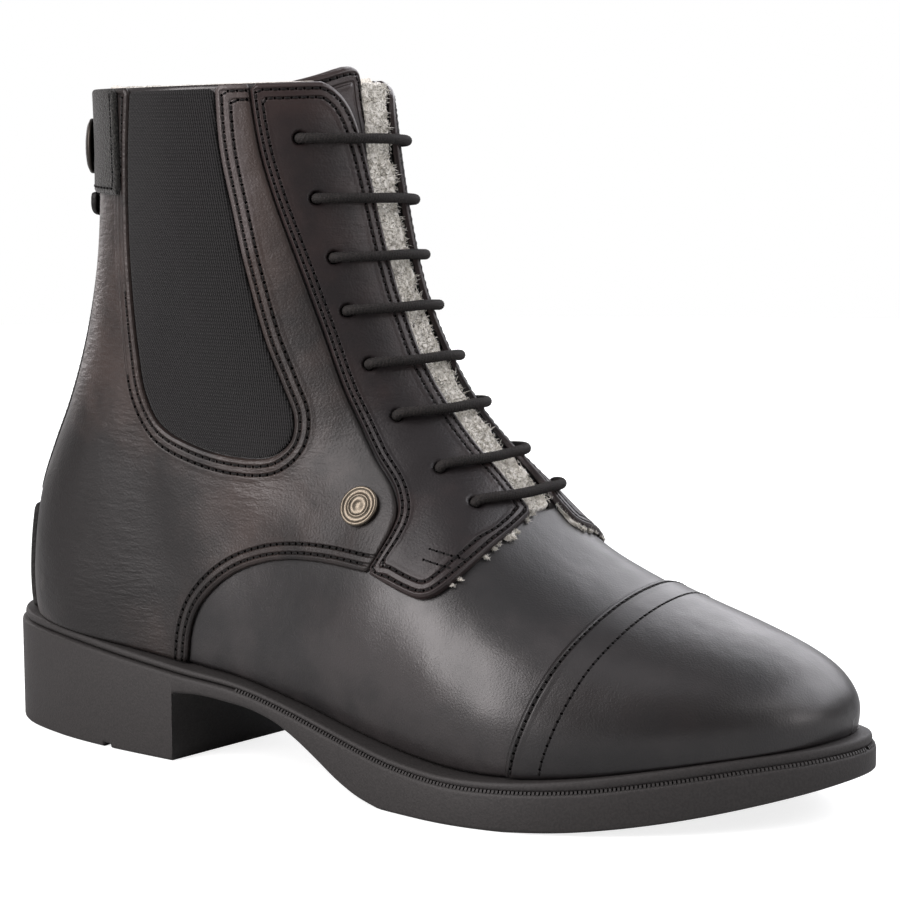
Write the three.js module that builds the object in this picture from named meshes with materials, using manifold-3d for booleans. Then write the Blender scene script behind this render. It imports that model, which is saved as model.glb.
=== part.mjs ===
// Paddock boot, right foot: ankle-high leather, elastic side gores, elastic lace bars and a back zip.
// Millimetres. +X points to the toe, +Y to the inner side of the foot, +Z up, and z = 0 is the ground.

import * as THREE from "three";
import { mergeVertices } from "three/addons/utils/BufferGeometryUtils.js";
import Module from "manifold-3d";

const wasm = await Module();
wasm.setup();
const { Manifold, Mesh } = wasm;

// Sizes that drive the boot

const LENGTH = 286; // outsole, heel to toe
const BALL = 107.5; // outsole across the ball of the foot
const HEIGHT = 197.5; // ground to collar, at the back

const COLLAR_FRONT = 101.2; // height of the collar's front, percent of HEIGHT
const WALL = 2.2; // vamp and lining together
const SKIN = 1.2; // quarters and toe cap
const FACING = 2.0; // lace facings
const ELASTIC = 0.8; // side gores
const STRAP = 1.4; // back tab
const ZIP_GUARD = 2.8; // zip and its guard, from the lining out
const PATCH_SKIN = 2; // heel patch
const PULL_SKIN = 1.9; // zip puller
const TONGUE = 2.6;
const INSOLE = 2.5;
const CORD = 3.2; // elastic lace, diameter
const WELT_STEP = 1.1; // the welt stands back from the outsole's edge
const BADGE = 11.8; // diameter
const SNAP = 16.5; // diameter
const GAP = 0.3; // left between pieces that touch

const ROWS = 18; // from the sole to the collar
const SIDE = 20; // from the heel to the toe, on each side

const table = (names, rows) =>
  rows.map((row) => Object.fromEntries(names.map((name, i) => [name, row[i]])));

// x is a share of LENGTH, z of HEIGHT, and y and the widths are shares of BALL, all in percent.

// Ridge of the vamp and the front of the shaft, from the toe up.
const FRONT = table(["x", "z"], [
  [47.55, 11], [47.75, 13.7], [47.05, 16.7], [44.95, 19.75], [41.6, 22.2],
  [36.35, 24.9], [30.75, 27.55], [25.15, 30.6], [19.6, 34.7], [15.75, 39.3],
  [12.6, 44.05], [9.6, 48.35], [6.45, 53.65], [2.95, 61.25], [0.3, 69.1],
  [-1.45, 77.45], [-2.8, 86.6], [-3.65, 94.2], [-4.3, 100], [-4.6, 105.3],
]);

// Back of the heel and the shaft.
const BACK = table(["x", "z"], [
  [-46.15, 17.85], [-46.45, 20.75], [-46.45, 25.3], [-46, 31.4], [-45, 38],
  [-43.15, 44.55], [-41.05, 51.15], [-39.1, 58.75], [-37.55, 66.85],
  [-36.5, 74.95], [-35.85, 83.55], [-35.6, 92.15], [-35.65, 100], [-35.75, 105.3],
]);

// Height of the line where the upper meets the sole, and the thickness of the welt under it.
const SEAT = table(["x", "z", "welt"], [
  [-47.6, 17.95, 1.7], [-36.7, 17.1, 1.5], [-25.9, 15.55, 1.4], [-19.2, 14.5, 1.3],
  [-12.2, 13.55, 1.2], [-4.9, 11.6, 1.15], [2.4, 9.3, 1.15], [10.1, 7.5, 1.25],
  [17.5, 6.75, 1.4], [24.1, 7.05, 1.6], [30.4, 7.9, 1.9], [36.7, 9.2, 2],
  [42.7, 10.35, 2], [47.9, 11, 1.9],
]);

// Foot: half widths from the ridge, the ridge's y, height of the widest line over the seat, tuck below it.
const FOOT = table(["x", "outer", "inner", "ridge", "rise", "tuck"], [
  [-24.5, 33.5, 29.3, 0, 11.1, 2.3], [-14, 36.7, 27.4, 0.5, 11.1, 2.8],
  [-3.5, 41.4, 26.5, 1.9, 10.1, 3.3], [7, 48.4, 29.8, 3.7, 8.6, 2.8],
  [15.7, 54.4, 34, 5.6, 7, 2.1], [22.7, 56.7, 35.8, 6.5, 5.7, 1.6],
  [31.5, 54.9, 36.7, 7.4, 4.3, 1.1], [48.3, 48.4, 35.3, 8.8, 2.9, 0.6],
]);

// Heel and shaft: half widths, the middle's y, and the lengths over which the back and the front round off.
const SHAFT = table(["z", "outer", "inner", "ridge", "back", "front"], [
  [15.2, 29.8, 28.8, 0, 16.1, 24.5], [25.3, 30.7, 29.8, 0, 16.4, 24.5],
  [38, 30.2, 29.3, 0, 15.7, 22.7], [50.6, 30.2, 29.3, 0.5, 15.4, 21],
  [63.3, 31.6, 30.7, 0.9, 16.1, 19.2], [75.9, 33.5, 32.6, 0.9, 16.8, 18.2],
  [88.6, 34.9, 34, 0.9, 16.8, 17.5], [105.3, 35.8, 34.9, 0.9, 16.8, 16.8],
]);

// Outline of the sole in plan, from the heel round the outer side.
const SOLE = table(["x", "y"], [
  [-50, 1.4], [-49, -8.8], [-45.5, -19.1], [-38.5, -27.9], [-31.5, -32.8], [-21, -36.6],
  [-10.5, -38.9], [0, -44.3], [10.5, -51.7], [17.5, -54.4], [24.5, -52.4], [31.5, -45.2],
  [38.5, -33.7], [44.8, -18.1], [48.6, -4.7], [50, 7.4], [49.1, 17.7], [45.5, 27.4],
  [38.5, 38.3], [31.5, 44.1], [24.5, 45.5], [17.5, 43.3], [10.5, 37.8], [0, 29],
  [-10.5, 25.9], [-21, 29], [-31.5, 31.1], [-38.5, 28.7], [-45.5, 20], [-49, 10.2],
]);

// Underside of the forefoot, rising to the toe, and the arch between the heel and the forefoot.
const SPRING = table(["x", "z"], [
  [23, 0], [29.4, 0.5], [35.7, 1.6], [42, 3.2], [46.9, 4.8], [50, 6], [52, 6.8],
]);
const ARCH = table(["x", "z"], [
  [-26, 10.3], [-20.6, 10.4], [-17, 10.7], [-13.3, 10.4], [-9.4, 9.8], [-6.3, 8.7],
  [-3.5, 7], [-0.7, 4.9], [2.1, 2.7], [4.9, 1.1], [8.4, 0],
]);
const BREAST = { outer: -20.4, inner: -17.2 }; // x of the heel's front face at the two sides

// Edges of the panels, seen from the side.
const CAP_EDGE = table(["x", "z"], [
  [21.9, 2], [22.4, 7.3], [23, 10.6], [24, 14.7], [25, 19.2], [25.8, 23.3], [26.5, 26.6], [28, 36],
]);
const VAMP_EDGE = table(["x", "z"], [
  [-19.8, 10], [-19.4, 15.7], [-18.9, 19.7], [-17.9, 23], [-16, 26.1], [-12.9, 29.3],
  [-8.7, 31.5], [-4.2, 32.5], [0.2, 32.6], [4.9, 32.2],
]);
const FACING_REAR = table(["x", "z"], [
  [5.1, 32.2], [5.9, 34.7], [6.55, 37.5], [6.6, 40], [5.4, 43.3], [2.4, 47.7], [-1.2, 55],
  [-4.2, 64.5], [-6.8, 74.7], [-9, 84], [-10.3, 91], [-11.7, 103],
]);
// Front edge of the facing's flap at its foot: the inner one reaches further over the vamp.
const FLAP_OUTER = table(["x", "z"], [
  [14.6, 41.8], [15.3, 40.2], [15.8, 37.6], [15.5, 35.6], [14.8, 33.3], [13.9, 31.3],
  [12.8, 29.9], [11.5, 29.4], [9.6, 30], [7.3, 31.1],
]);
const FLAP_INNER = table(["x", "z"], [
  [16.8, 41], [17.6, 38], [18, 35.6], [17.6, 33.3], [16.4, 31.4], [14.6, 30.1],
  [12.2, 29.4], [9.6, 30], [7.3, 31.1],
]);
const FLAP_INNER_SIDE = { y: 8.8, z: 41 }; // how near the middle the inner flap comes, below a height
const GORE = table(["x", "z"], [
  [-24.8, 104], [-25.8, 93], [-26.3, 81], [-26.2, 72], [-25.6, 62], [-24.7, 54.4],
  [-23, 50.3], [-18.9, 47.7], [-13.3, 46.3], [-8.9, 46.8], [-6.8, 49.1], [-6.5, 52.5],
  [-7.8, 57], [-9.9, 64], [-11.9, 74.5], [-13.1, 83], [-14.2, 91.5], [-14.8, 104],
]);

// Front opening, seen from the toe: it flares at the top, where the facings' corners are round.
const THROAT = table(["y", "z"], [
  [-3, 39.6], [-4.6, 41], [-4.6, 54], [-3.9, 70], [-5.2, 87], [-7.2, 94.4], [-9.4, 98],
  [-12.5, 100.2], [-18, 102.5], [-18, 125], [26, 125], [26, 101.6], [18.5, 99.9], [14, 98.6],
  [11.2, 96.6], [9.8, 93.8], [9.3, 89], [9.3, 43], [9, 41], [7.4, 39.6],
]);
// Outline of the tongue, seen from the toe.
const TONGUE_EDGE = table(["y", "z"], [
  [-26, 31], [-28, 40], [-28.5, 98.5], [-24, 100], [-14, 101.8], [-2.4, 103.2], [0.6, 102.4],
  [1.4, 96], [3.5, 87], [9, 81], [17, 75], [21.5, 66], [22.5, 40], [20, 31],
]);

// Lace bars: heights of the outer and the inner end, and how far out the two lace holes are.
const BARS = table(["outer", "inner", "y"], [
  [92.9, 91.6, 21.3], [84.2, 82.8, 19.5], [75.6, 74.6, 18], [67.9, 66.9, 17.7],
  [60.2, 59.4, 17.3], [52.9, 52.6, 17.6], [45.8, 45.7, 18.7], [41, 40.6, 19.2],
]);

const ZIP = { half: 11, foot: 36, top: 84.2 }; // half width with its guard, lower and upper end
const PATCH = { half: 12, top: 34.5 }; // heel patch
const TAB = { front: -26.8, foot: 84.5 }; // back tab
const PULL = { left: -14, right: -5, foot: 80.6 }; // zip puller below the tab
const BADGE_AT = { x: 2.6, z: 40.6 };
const SNAP_AT = { x: -33.8, z: 91.5 };

// Interpolation

const px = (share) => (share * LENGTH) / 100;
const py = (share) => (share * BALL) / 100;
const pz = (share) => (share * HEIGHT) / 100;

// Reads column `of` at the value `at` of column `by`: smooth inside the table, straight beyond it.
function read(rows, by, of, at) {
  const last = rows.length - 1;
  const slope = (i) => (rows[i + 1][of] - rows[i][of]) / (rows[i + 1][by] - rows[i][by]);
  const step = (i) => rows[i + 1][by] - rows[i][by];
  const tangent = (i) => {
    if (i === 0) return slope(0);
    if (i === last) return slope(last - 1);
    return (slope(i - 1) * step(i) + slope(i) * step(i - 1)) / (step(i) + step(i - 1));
  };
  if (at <= rows[0][by]) return rows[0][of] + (at - rows[0][by]) * tangent(0);
  if (at >= rows[last][by]) return rows[last][of] + (at - rows[last][by]) * tangent(last);
  let i = 0;
  while (at > rows[i + 1][by]) i++;
  const h = step(i);
  const t = (at - rows[i][by]) / h;
  return (
    (2 * t ** 3 - 3 * t ** 2 + 1) * rows[i][of] +
    (t ** 3 - 2 * t ** 2 + t) * h * tangent(i) +
    (3 * t ** 2 - 2 * t ** 3) * rows[i + 1][of] +
    (t ** 3 - t ** 2) * h * tangent(i + 1)
  );
}

const clamp01 = (v) => Math.min(1, Math.max(0, v));
const ease = (v) => clamp01(v) ** 2 * (3 - 2 * clamp01(v));
const mix = (a, b, t) => a + (b - a) * t;

// A profile table as points in millimetres with the length walked so far.
function walked(rows) {
  const numbered = rows.map((row, i) => ({ ...row, i }));
  const points = [];
  for (let i = 0; i <= (rows.length - 1) * 30; i++) {
    const at = i / 30;
    const x = px(read(numbered, "i", "x", at));
    const z = pz(read(numbered, "i", "z", at));
    const before = points.at(-1);
    const walk = before ? before.walk + Math.hypot(x - before.x, z - before.z) : 0;
    points.push({ x, z, walk });
  }
  return points;
}

// Looks a dense list up by a column that only rises.
function look(points, by, of, at) {
  let low = 0;
  let high = points.length - 1;
  while (high - low > 1) {
    const mid = (low + high) >> 1;
    if (points[mid][by] > at) high = mid;
    else low = mid;
  }
  const t = (at - points[low][by]) / (points[high][by] - points[low][by]);
  return mix(points[low][of], points[high][of], t);
}

const front = walked(FRONT);
const back = walked(BACK);
const frontWalk = look(front, "z", "walk", pz(COLLAR_FRONT));
const backWalk = look(back, "z", "walk", HEIGHT);
const tip = front.reduce((far, p) => (p.x > far.x ? p : far));
const ridge = front.slice(front.indexOf(tip)).reverse();

const seat = (x) => pz(read(SEAT, "x", "z", (x * 100) / LENGTH));
const groove = (x) => seat(x) - pz(read(SEAT, "x", "welt", (x * 100) / LENGTH));
const frontX = (z) => look(front, "z", "x", z);
const backX = (z) => look(back, "z", "x", z);
const ridgeZ = (x) => look(ridge, "x", "z", Math.min(x, tip.x));

// Share of the full width at a distance from a rounded end.
const round = (distance, length, p, q) =>
  (1 - (1 - clamp01(distance / length)) ** p) ** (1 / q);

// Half width and middle of the foot at a point of the side view.
function foot(x, z, side) {
  const row = (name) => read(FOOT, "x", name, (x * 100) / LENGTH);
  const width = py(row(side < 0 ? "outer" : "inner"));
  const rise = pz(row("rise"));
  const widest = seat(x) + rise;
  const above = clamp01((z - widest) / Math.max(ridgeZ(x) - widest, 1));
  const below = clamp01((widest - z) / rise);
  const ahead = tip.x - 0.8 * below ** 2 - x;
  const half =
    width * round(ahead, 0.308 * LENGTH, 2.15, 2.1) * (1 - above ** 2.1) ** (1 / 1.95) -
    py(row("tuck")) * below ** 2 * Math.sqrt(clamp01(ahead / (0.07 * LENGTH)));
  return [Math.max(half, 0), py(row("ridge"))];
}

// Half width and middle of the heel and the shaft.
function shaft(x, z, side) {
  const row = (name) => read(SHAFT, "z", name, (z * 100) / HEIGHT);
  const half =
    py(row(side < 0 ? "outer" : "inner")) *
    round(x - backX(z), px(row("back")), 2.2, 2) *
    round(frontX(z) - x, px(row("front")), 2, 2);
  return [Math.max(half, 0), py(row("ridge"))];
}

// How far a point belongs to the shaft: the two forms meet across a slanting line through the instep.
function ankle(x, z) {
  const a = { x: px(9.4), z: pz(48.6) };
  const b = { x: px(-17.5), z: pz(15.2) };
  const long = Math.hypot(b.x - a.x, b.z - a.z);
  const ahead = ((x - a.x) * (a.z - b.z) - (z - a.z) * (a.x - b.x)) / long;
  return ease(0.5 - ahead / (0.196 * LENGTH));
}

// Point of the upper's outer face over a point of the side view, on one side.
function skinPoint(x, z, side) {
  const [footHalf, footY] = foot(x, z, side);
  const [shaftHalf, shaftY] = shaft(x, z, side);
  const share = ankle(x, z);
  const half = Math.sqrt(mix(footHalf ** 2, shaftHalf ** 2, share));
  return new THREE.Vector3(x, mix(footY, shaftY, share) + side * half, z);
}

// Loops round the upper, t = 0 on the sole and t = 1 on the collar

const BACK_SHARE = table(["t", "s"], [[0, 0], [0.15, 0.06], [0.45, 0.3], [0.6, 0.47], [1, 1]]);

function ends(t) {
  const s = read(BACK_SHARE, "t", "s", t);
  return {
    heel: { x: look(back, "walk", "x", s * backWalk), z: look(back, "walk", "z", s * backWalk) },
    toe: { x: look(front, "walk", "x", t * frontWalk), z: look(front, "walk", "z", t * frontWalk) },
  };
}

function loop(t) {
  const { heel, toe } = ends(t);
  const low = ends(0);
  const hold = ease(1 - t / 0.34);
  const along = (side) => {
    const points = [];
    for (let i = 0; i <= SIDE; i++) {
      const s = (1 - Math.cos((Math.PI * i) / SIDE)) / 2;
      const x0 = mix(low.heel.x, low.toe.x, s);
      const sag = seat(x0) - mix(low.heel.z, low.toe.z, s);
      points.push(skinPoint(mix(heel.x, toe.x, s), mix(heel.z, toe.z, s) + hold * sag, side));
    }
    return points;
  };
  return [...along(-1), ...along(1).reverse().slice(1, -1)];
}

const rowShare = (i) => i / ROWS - (0.3 * Math.sin((2 * Math.PI * i) / ROWS)) / (2 * Math.PI);

// Rows of a grid of points with the outward normal of each; the first and the last row stay level.
function gridOf(shares) {
  const points = shares.map(loop);
  return points.map((row, i) =>
    row.map((point, j) => {
      const around = row.at((j + 1) % row.length).clone().sub(row.at(j - 1));
      const up = points[Math.min(i + 1, points.length - 1)][j]
        .clone()
        .sub(points[Math.max(i - 1, 0)][j]);
      const normal = around.cross(up);
      if (i === 0 || shares[i] === 1) normal.z = 0;
      return { point, normal: normal.normalize() };
    }),
  );
}

const shares = Array.from({ length: ROWS + 1 }, (_, i) => rowShare(i));
const grid = gridOf(shares);
const tallGrid = gridOf([...shares.slice(5), 1.025, 1.05]).map((row) =>
  row.filter((_, j) => j % 2 === 0),
);

const offset = (cells, d) =>
  cells.map((row) => row.map(({ point, normal }) => point.clone().addScaledVector(normal, d)));

// Solids

function solid(geometry) {
  const bare = geometry.index ? geometry.toNonIndexed() : geometry.clone();
  bare.deleteAttribute("normal");
  bare.deleteAttribute("uv");
  const merged = mergeVertices(bare, 1e-4);
  return new Manifold(
    new Mesh({
      numProp: 3,
      vertProperties: merged.attributes.position.array,
      triVerts: new Uint32Array(merged.index.array),
    }),
  );
}

// Closed sheet between two grids of points that run round the boot.
function sheet(inner, outer) {
  const rows = outer.length;
  const cols = outer[0].length;
  const points = [...outer.flat(), ...inner.flat()];
  const out = (i, j) => i * cols + (j % cols);
  const inn = (i, j) => rows * cols + out(i, j);
  const faces = [];
  const quad = (a, b, c, d) => faces.push(a, b, c, a, c, d);
  for (let j = 0; j < cols; j++) {
    for (let i = 0; i < rows - 1; i++) {
      quad(out(i, j), out(i, j + 1), out(i + 1, j + 1), out(i + 1, j));
      quad(inn(i, j), inn(i + 1, j), inn(i + 1, j + 1), inn(i, j + 1));
    }
    quad(out(0, j), inn(0, j), inn(0, j + 1), out(0, j + 1));
    quad(out(rows - 1, j), out(rows - 1, j + 1), inn(rows - 1, j + 1), inn(rows - 1, j));
  }
  const geometry = new THREE.BufferGeometry().setFromPoints(points);
  geometry.setIndex(faces);
  return solid(geometry);
}

const layer = (low, high, cells = grid) => sheet(offset(cells, low), offset(cells, high));

// Plate over a closed plan outline that starts at the heel's end, between two heights.
function plate(outline, low, high) {
  const n = outline.length;
  const points = [
    ...outline.map((p) => new THREE.Vector3(p.x, p.y, high(p.x))),
    ...outline.map((p) => new THREE.Vector3(p.x, p.y, low(p.x))),
  ];
  const faces = [];
  for (let j = 0; j < n; j++) {
    const k = (j + 1) % n;
    faces.push(j, j + n, k, k, j + n, k + n);
  }
  for (let j = 0; j < n / 2; j++) {
    const [a, b, c, d] = [j, j + 1, n - j - 1, (n - j) % n];
    if (b !== c) faces.push(a, b, c, a + n, c + n, b + n);
    if (a !== d) faces.push(a, c, d, a + n, d + n, c + n);
  }
  const geometry = new THREE.BufferGeometry().setFromPoints(points);
  geometry.setIndex(faces);
  return solid(geometry);
}

const shapeOf = (points) => new THREE.Shape(points.map(([a, b]) => new THREE.Vector2(a, b)));

function prism(points, depth) {
  return new THREE.ExtrudeGeometry(shapeOf(points), { depth, bevelEnabled: false, steps: 1 });
}

// Outline in x and z, as thick as from y = low to y = high.
const sideCut = (points, low = -BALL, high = BALL) =>
  solid(prism(points, high - low).rotateX(Math.PI / 2).translate(0, high, 0));

// Outline in y and z, from x = low to x = high.
function endCut(points, low, high) {
  const turn = new THREE.Matrix4().makeBasis(
    new THREE.Vector3(0, 1, 0),
    new THREE.Vector3(0, 0, 1),
    new THREE.Vector3(1, 0, 0),
  );
  return solid(prism(points, high - low).applyMatrix4(turn).translate(low, 0, 0));
}

const box = (x0, x1, y0, y1, z0, z1) =>
  solid(
    new THREE.BoxGeometry(x1 - x0, y1 - y0, z1 - z0).translate(
      (x0 + x1) / 2, (y0 + y1) / 2, (z0 + z1) / 2,
    ),
  );

const sidePoints = (rows) => rows.map((row) => [px(row.x), pz(row.z)]);
const endPoints = (rows) => rows.map((row) => [py(row.y), pz(row.z)]);

// Moves a closed outline inwards by d; the outline runs anticlockwise.
function inset(points, d) {
  return points.map(([x, z], i) => {
    const [ax, az] = points.at(i - 1);
    const [bx, bz] = points[(i + 1) % points.length];
    const long = Math.hypot(bx - ax, bz - az);
    return [x - (d * (bz - az)) / long, z + (d * (bx - ax)) / long];
  });
}

const shift = (points, dx, dz) => points.map(([x, z]) => [x + dx, z + dz]);

// Materials

const paint = (color, roughness, metalness = 0) =>
  new THREE.MeshStandardMaterial({ color, roughness, metalness });
const LEATHER = paint("#2b2523", 0.45);
const POLISHED = paint("#211d1c", 0.3);
const RUBBER = paint("#3a3533", 0.75);
const ELASTIC_CLOTH = paint("#232122", 0.9);
const LINING = paint("#b9b5aa", 1);
const CORD_CLOTH = paint("#2a2624", 0.85);
const METAL = paint("#b3a488", 0.35, 1);
const TEETH = paint("#1c1b1b", 0.6);

const boot = new THREE.Group();
boot.name = "paddock_boot";

function add(name, body, material) {
  let geometry = body;
  if (body instanceof Manifold) {
    const { vertProperties, triVerts } = body.getMesh();
    geometry = new THREE.BufferGeometry();
    geometry.setAttribute("position", new THREE.BufferAttribute(vertProperties, 3));
    geometry.setIndex(new THREE.BufferAttribute(triVerts, 1));
    geometry = geometry.toNonIndexed();
    geometry.computeVertexNormals();
  }
  const mesh = new THREE.Mesh(geometry, material);
  mesh.name = name;
  boot.add(mesh);
  return mesh;
}

// Sole

const soleCurve = new THREE.CatmullRomCurve3(
  SOLE.map((row) => new THREE.Vector3(px(row.x), py(row.y), 0)),
  true,
  "centripetal",
);
const SOLE_STEPS = 72;
const soleLine = soleCurve.getPoints(SOLE_STEPS).slice(0, SOLE_STEPS);

const ground = [
  [-LENGTH, 0],
  ...sidePoints(SPRING),
  [LENGTH, pz(SPRING.at(-1).z)],
  [LENGTH, HEIGHT],
  [-LENGTH, HEIGHT],
];
const arch = [...sidePoints(ARCH), [px(ARCH.at(-1).x), -5], [px(ARCH[0].x), -5]].reverse();
const archPlan = solid(
  prism(
    [[px(BREAST.outer), py(-40)], [px(30), py(-70)], [px(30), py(70)], [px(BREAST.inner), py(32)]],
    HEIGHT,
  ).translate(0, 0, -10),
);
const heelLift = box(px(-30.7), px(-29.5), -BALL, BALL, -1, pz(0.6));
const outsole = plate(soleLine, () => -5, groove)
  .intersect(sideCut(ground))
  .subtract(sideCut(arch).intersect(archPlan))
  .subtract(heelLift);
add("outsole", outsole, RUBBER);

const weltLine = soleLine.map((p, i) => {
  const a = soleLine.at(i - 1);
  const b = soleLine[(i + 1) % SOLE_STEPS];
  const long = Math.hypot(b.x - a.x, b.y - a.y);
  return { x: p.x - (WELT_STEP * (b.y - a.y)) / long, y: p.y + (WELT_STEP * (b.x - a.x)) / long };
});
add("welt", plate(weltLine, (x) => groove(x) + GAP, (x) => seat(x) - GAP), RUBBER);

const innerLine = offset([grid[0]], -WALL - 2 * GAP)[0];
add("insole", plate(innerLine, (x) => seat(x), (x) => seat(x) + INSOLE), LINING);

// Upper

const throat = endCut(endPoints(THROAT), px(-20), px(35));
add("upper", layer(-WALL, 0).subtract(throat), LEATHER);

const capFront = [...sidePoints(CAP_EDGE), [px(60), pz(36)], [px(60), pz(2)]].reverse();
add("toe_cap", layer(GAP, SKIN).intersect(sideCut(capFront)), POLISHED);

const facingLine = (flap) => [
  ...sidePoints(FACING_REAR).reverse(),
  ...sidePoints(flap).reverse(),
  [px(30), pz(45)],
  [px(30), HEIGHT * 1.1],
  [px(-11.6), HEIGHT * 1.1],
];
const facingLayer = layer(GAP, FACING).subtract(throat);
const facingOuter = facingLayer.intersect(sideCut(facingLine(FLAP_OUTER)));
const facingInner = facingLayer
  .intersect(sideCut(facingLine(FLAP_INNER)))
  .subtract(box(px(4), px(40), -BALL, py(FLAP_INNER_SIDE.y), 0, pz(FLAP_INNER_SIDE.z)));
add("facing_lateral", facingOuter.intersect(box(-LENGTH, LENGTH, -BALL, 0, 0, 2 * HEIGHT)), LEATHER);
add("facing_medial", facingInner.intersect(box(-LENGTH, LENGTH, 0, BALL, 0, 2 * HEIGHT)), LEATHER);

const quarterLine = shift(
  [
    ...sidePoints(VAMP_EDGE),
    ...sidePoints(FACING_REAR),
    [px(-11.6), HEIGHT * 1.1],
    [-LENGTH, HEIGHT * 1.1],
    [-LENGTH, pz(10)],
  ],
  -GAP,
  0,
);
const goreLine = sidePoints(GORE);
const zipSlot = (play) =>
  box(
    -LENGTH, px(-30), py(-ZIP.half) - play, py(ZIP.half) + play,
    pz(ZIP.foot) - play, pz(ZIP.top) + play,
  );
const quarters = layer(GAP, GAP + SKIN)
  .intersect(sideCut(quarterLine))
  .subtract(sideCut(goreLine))
  .subtract(zipSlot(GAP));
add("quarter_lateral", quarters.intersect(box(-LENGTH, LENGTH, -BALL, -GAP / 2, 0, 2 * HEIGHT)), LEATHER);
add("quarter_medial", quarters.intersect(box(-LENGTH, LENGTH, GAP / 2, BALL, 0, 2 * HEIGHT)), LEATHER);

const gores = layer(GAP, GAP + ELASTIC).intersect(sideCut(inset(goreLine, 1.2 * GAP)));
add("gore_lateral", gores.intersect(box(-LENGTH, LENGTH, -BALL, 0, 0, 2 * HEIGHT)), ELASTIC_CLOTH);
add("gore_medial", gores.intersect(box(-LENGTH, LENGTH, 0, BALL, 0, 2 * HEIGHT)), ELASTIC_CLOTH);

add("zip", layer(GAP, ZIP_GUARD).intersect(zipSlot(0)), TEETH);

// Pieces on top of the quarters

const second = SKIN + 2 * GAP;
const patch = box(-LENGTH, px(-35), py(-PATCH.half), py(PATCH.half), 0, pz(PATCH.top));
add("heel_patch", layer(second, second + PATCH_SKIN).intersect(patch), LEATHER);

const tab = box(-LENGTH, px(TAB.front), -BALL, BALL, pz(TAB.foot), 2 * HEIGHT);
add("back_tab", layer(second, second + STRAP).intersect(tab), LEATHER);

const pull = box(-LENGTH, px(-30), py(PULL.left), py(PULL.right), pz(PULL.foot), pz(TAB.foot) - GAP);
add("zip_pull", layer(ZIP_GUARD + GAP, ZIP_GUARD + GAP + PULL_SKIN).intersect(pull), LEATHER);

const tongueCut = endCut(endPoints(TONGUE_EDGE), px(-25), px(35));
add("tongue", layer(-WALL - GAP - TONGUE, -WALL - GAP, tallGrid).intersect(tongueCut), LINING);

// Puts a lathe-turned piece on the outer side, its axis along the surface's normal.
function turned(name, profile, at, lift, material) {
  const x = px(at.x);
  const z = pz(at.z);
  const point = skinPoint(x, z, -1);
  const across = skinPoint(x + 1, z, -1).sub(skinPoint(x - 1, z, -1));
  const up = skinPoint(x, z + 1, -1).sub(skinPoint(x, z - 1, -1));
  const normal = across.cross(up).normalize();
  const curve = profile.map(([r, h]) => new THREE.Vector2(r, h));
  const mesh = add(name, new THREE.LatheGeometry(curve, 16), material);
  mesh.quaternion.setFromUnitVectors(new THREE.Vector3(0, 1, 0), normal);
  mesh.position.copy(point).addScaledVector(normal, lift);
}

const b = BADGE / 2;
turned("badge", [
  [0, 0], [b, 0], [b, 0.9], [b * 0.92, 1.25], [b * 0.84, 1.25], [b * 0.8, 0.95],
  [b * 0.5, 1.1], [b * 0.46, 1.4], [0, 1.7],
], BADGE_AT, SKIN + 2 * GAP + 0.3, METAL);
const s = SNAP / 2;
turned("snap_button", [
  [0, 0], [s, 0], [s, 0.9], [s * 0.8, 1.7], [0, 2.2],
], SNAP_AT, second + STRAP + GAP, METAL);

// Point at a height and a y on the front of the shaft, lifted off the upper.
function overFront(z, y, d) {
  const side = y < py(1) ? -1 : 1;
  let behind = frontX(z) - px(18);
  let ahead = frontX(z);
  for (let i = 0; i < 40; i++) {
    const x = (behind + ahead) / 2;
    if ((skinPoint(x, z, side).y - y) * side > 0) behind = x;
    else ahead = x;
  }
  const x = behind - 0.5;
  const along = skinPoint(x, z, side).sub(skinPoint(x - 1, z, side));
  const up = skinPoint(x, z + 0.5, side).sub(skinPoint(x, z - 0.5, side));
  const normal = along.cross(up).multiplyScalar(-side).normalize();
  return skinPoint(behind, z, side).addScaledVector(normal, d);
}

// Lace bars: each is a stretch of cord from hole to hole, over the facings.
const section = new THREE.Shape().absarc(0, 0, CORD / 2, 0, 2 * Math.PI, false);
const lift = FACING + GAP + CORD / 2 + 0.2;
BARS.forEach((bar, k) => {
  const points = [];
  for (let i = 0; i <= 8; i++) {
    const t = i / 8;
    const y = py(mix(-bar.y, bar.y + 1.8, t));
    points.push(overFront(pz(mix(bar.outer, bar.inner, t)), y, lift));
  }
  const path = new THREE.CatmullRomCurve3(points, false, "centripetal");
  const cord = new THREE.ExtrudeGeometry(section, {
    steps: 9, curveSegments: 3, bevelEnabled: false, extrudePath: path,
  });
  add(`lace_bar_${k + 1}`, cord, CORD_CLOTH);
});

// The frame's origin is the middle of the box's base.
boot.updateMatrixWorld(true);
const bounds = new THREE.Box3().setFromObject(boot);
boot.position.set(-(bounds.min.x + bounds.max.x) / 2, -(bounds.min.y + bounds.max.y) / 2, -bounds.min.z);

export default boot;
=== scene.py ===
"""Paddock boot, right foot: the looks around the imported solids.

Lengths are millimetres as in the part's drawing, +X to the toe, +Y to the inner side, +Z up.
They are turned into metres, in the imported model's frame, when a mesh is made.
"""

import math

import bpy
import numpy as np
from mathutils import Matrix, Vector, noise


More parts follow.
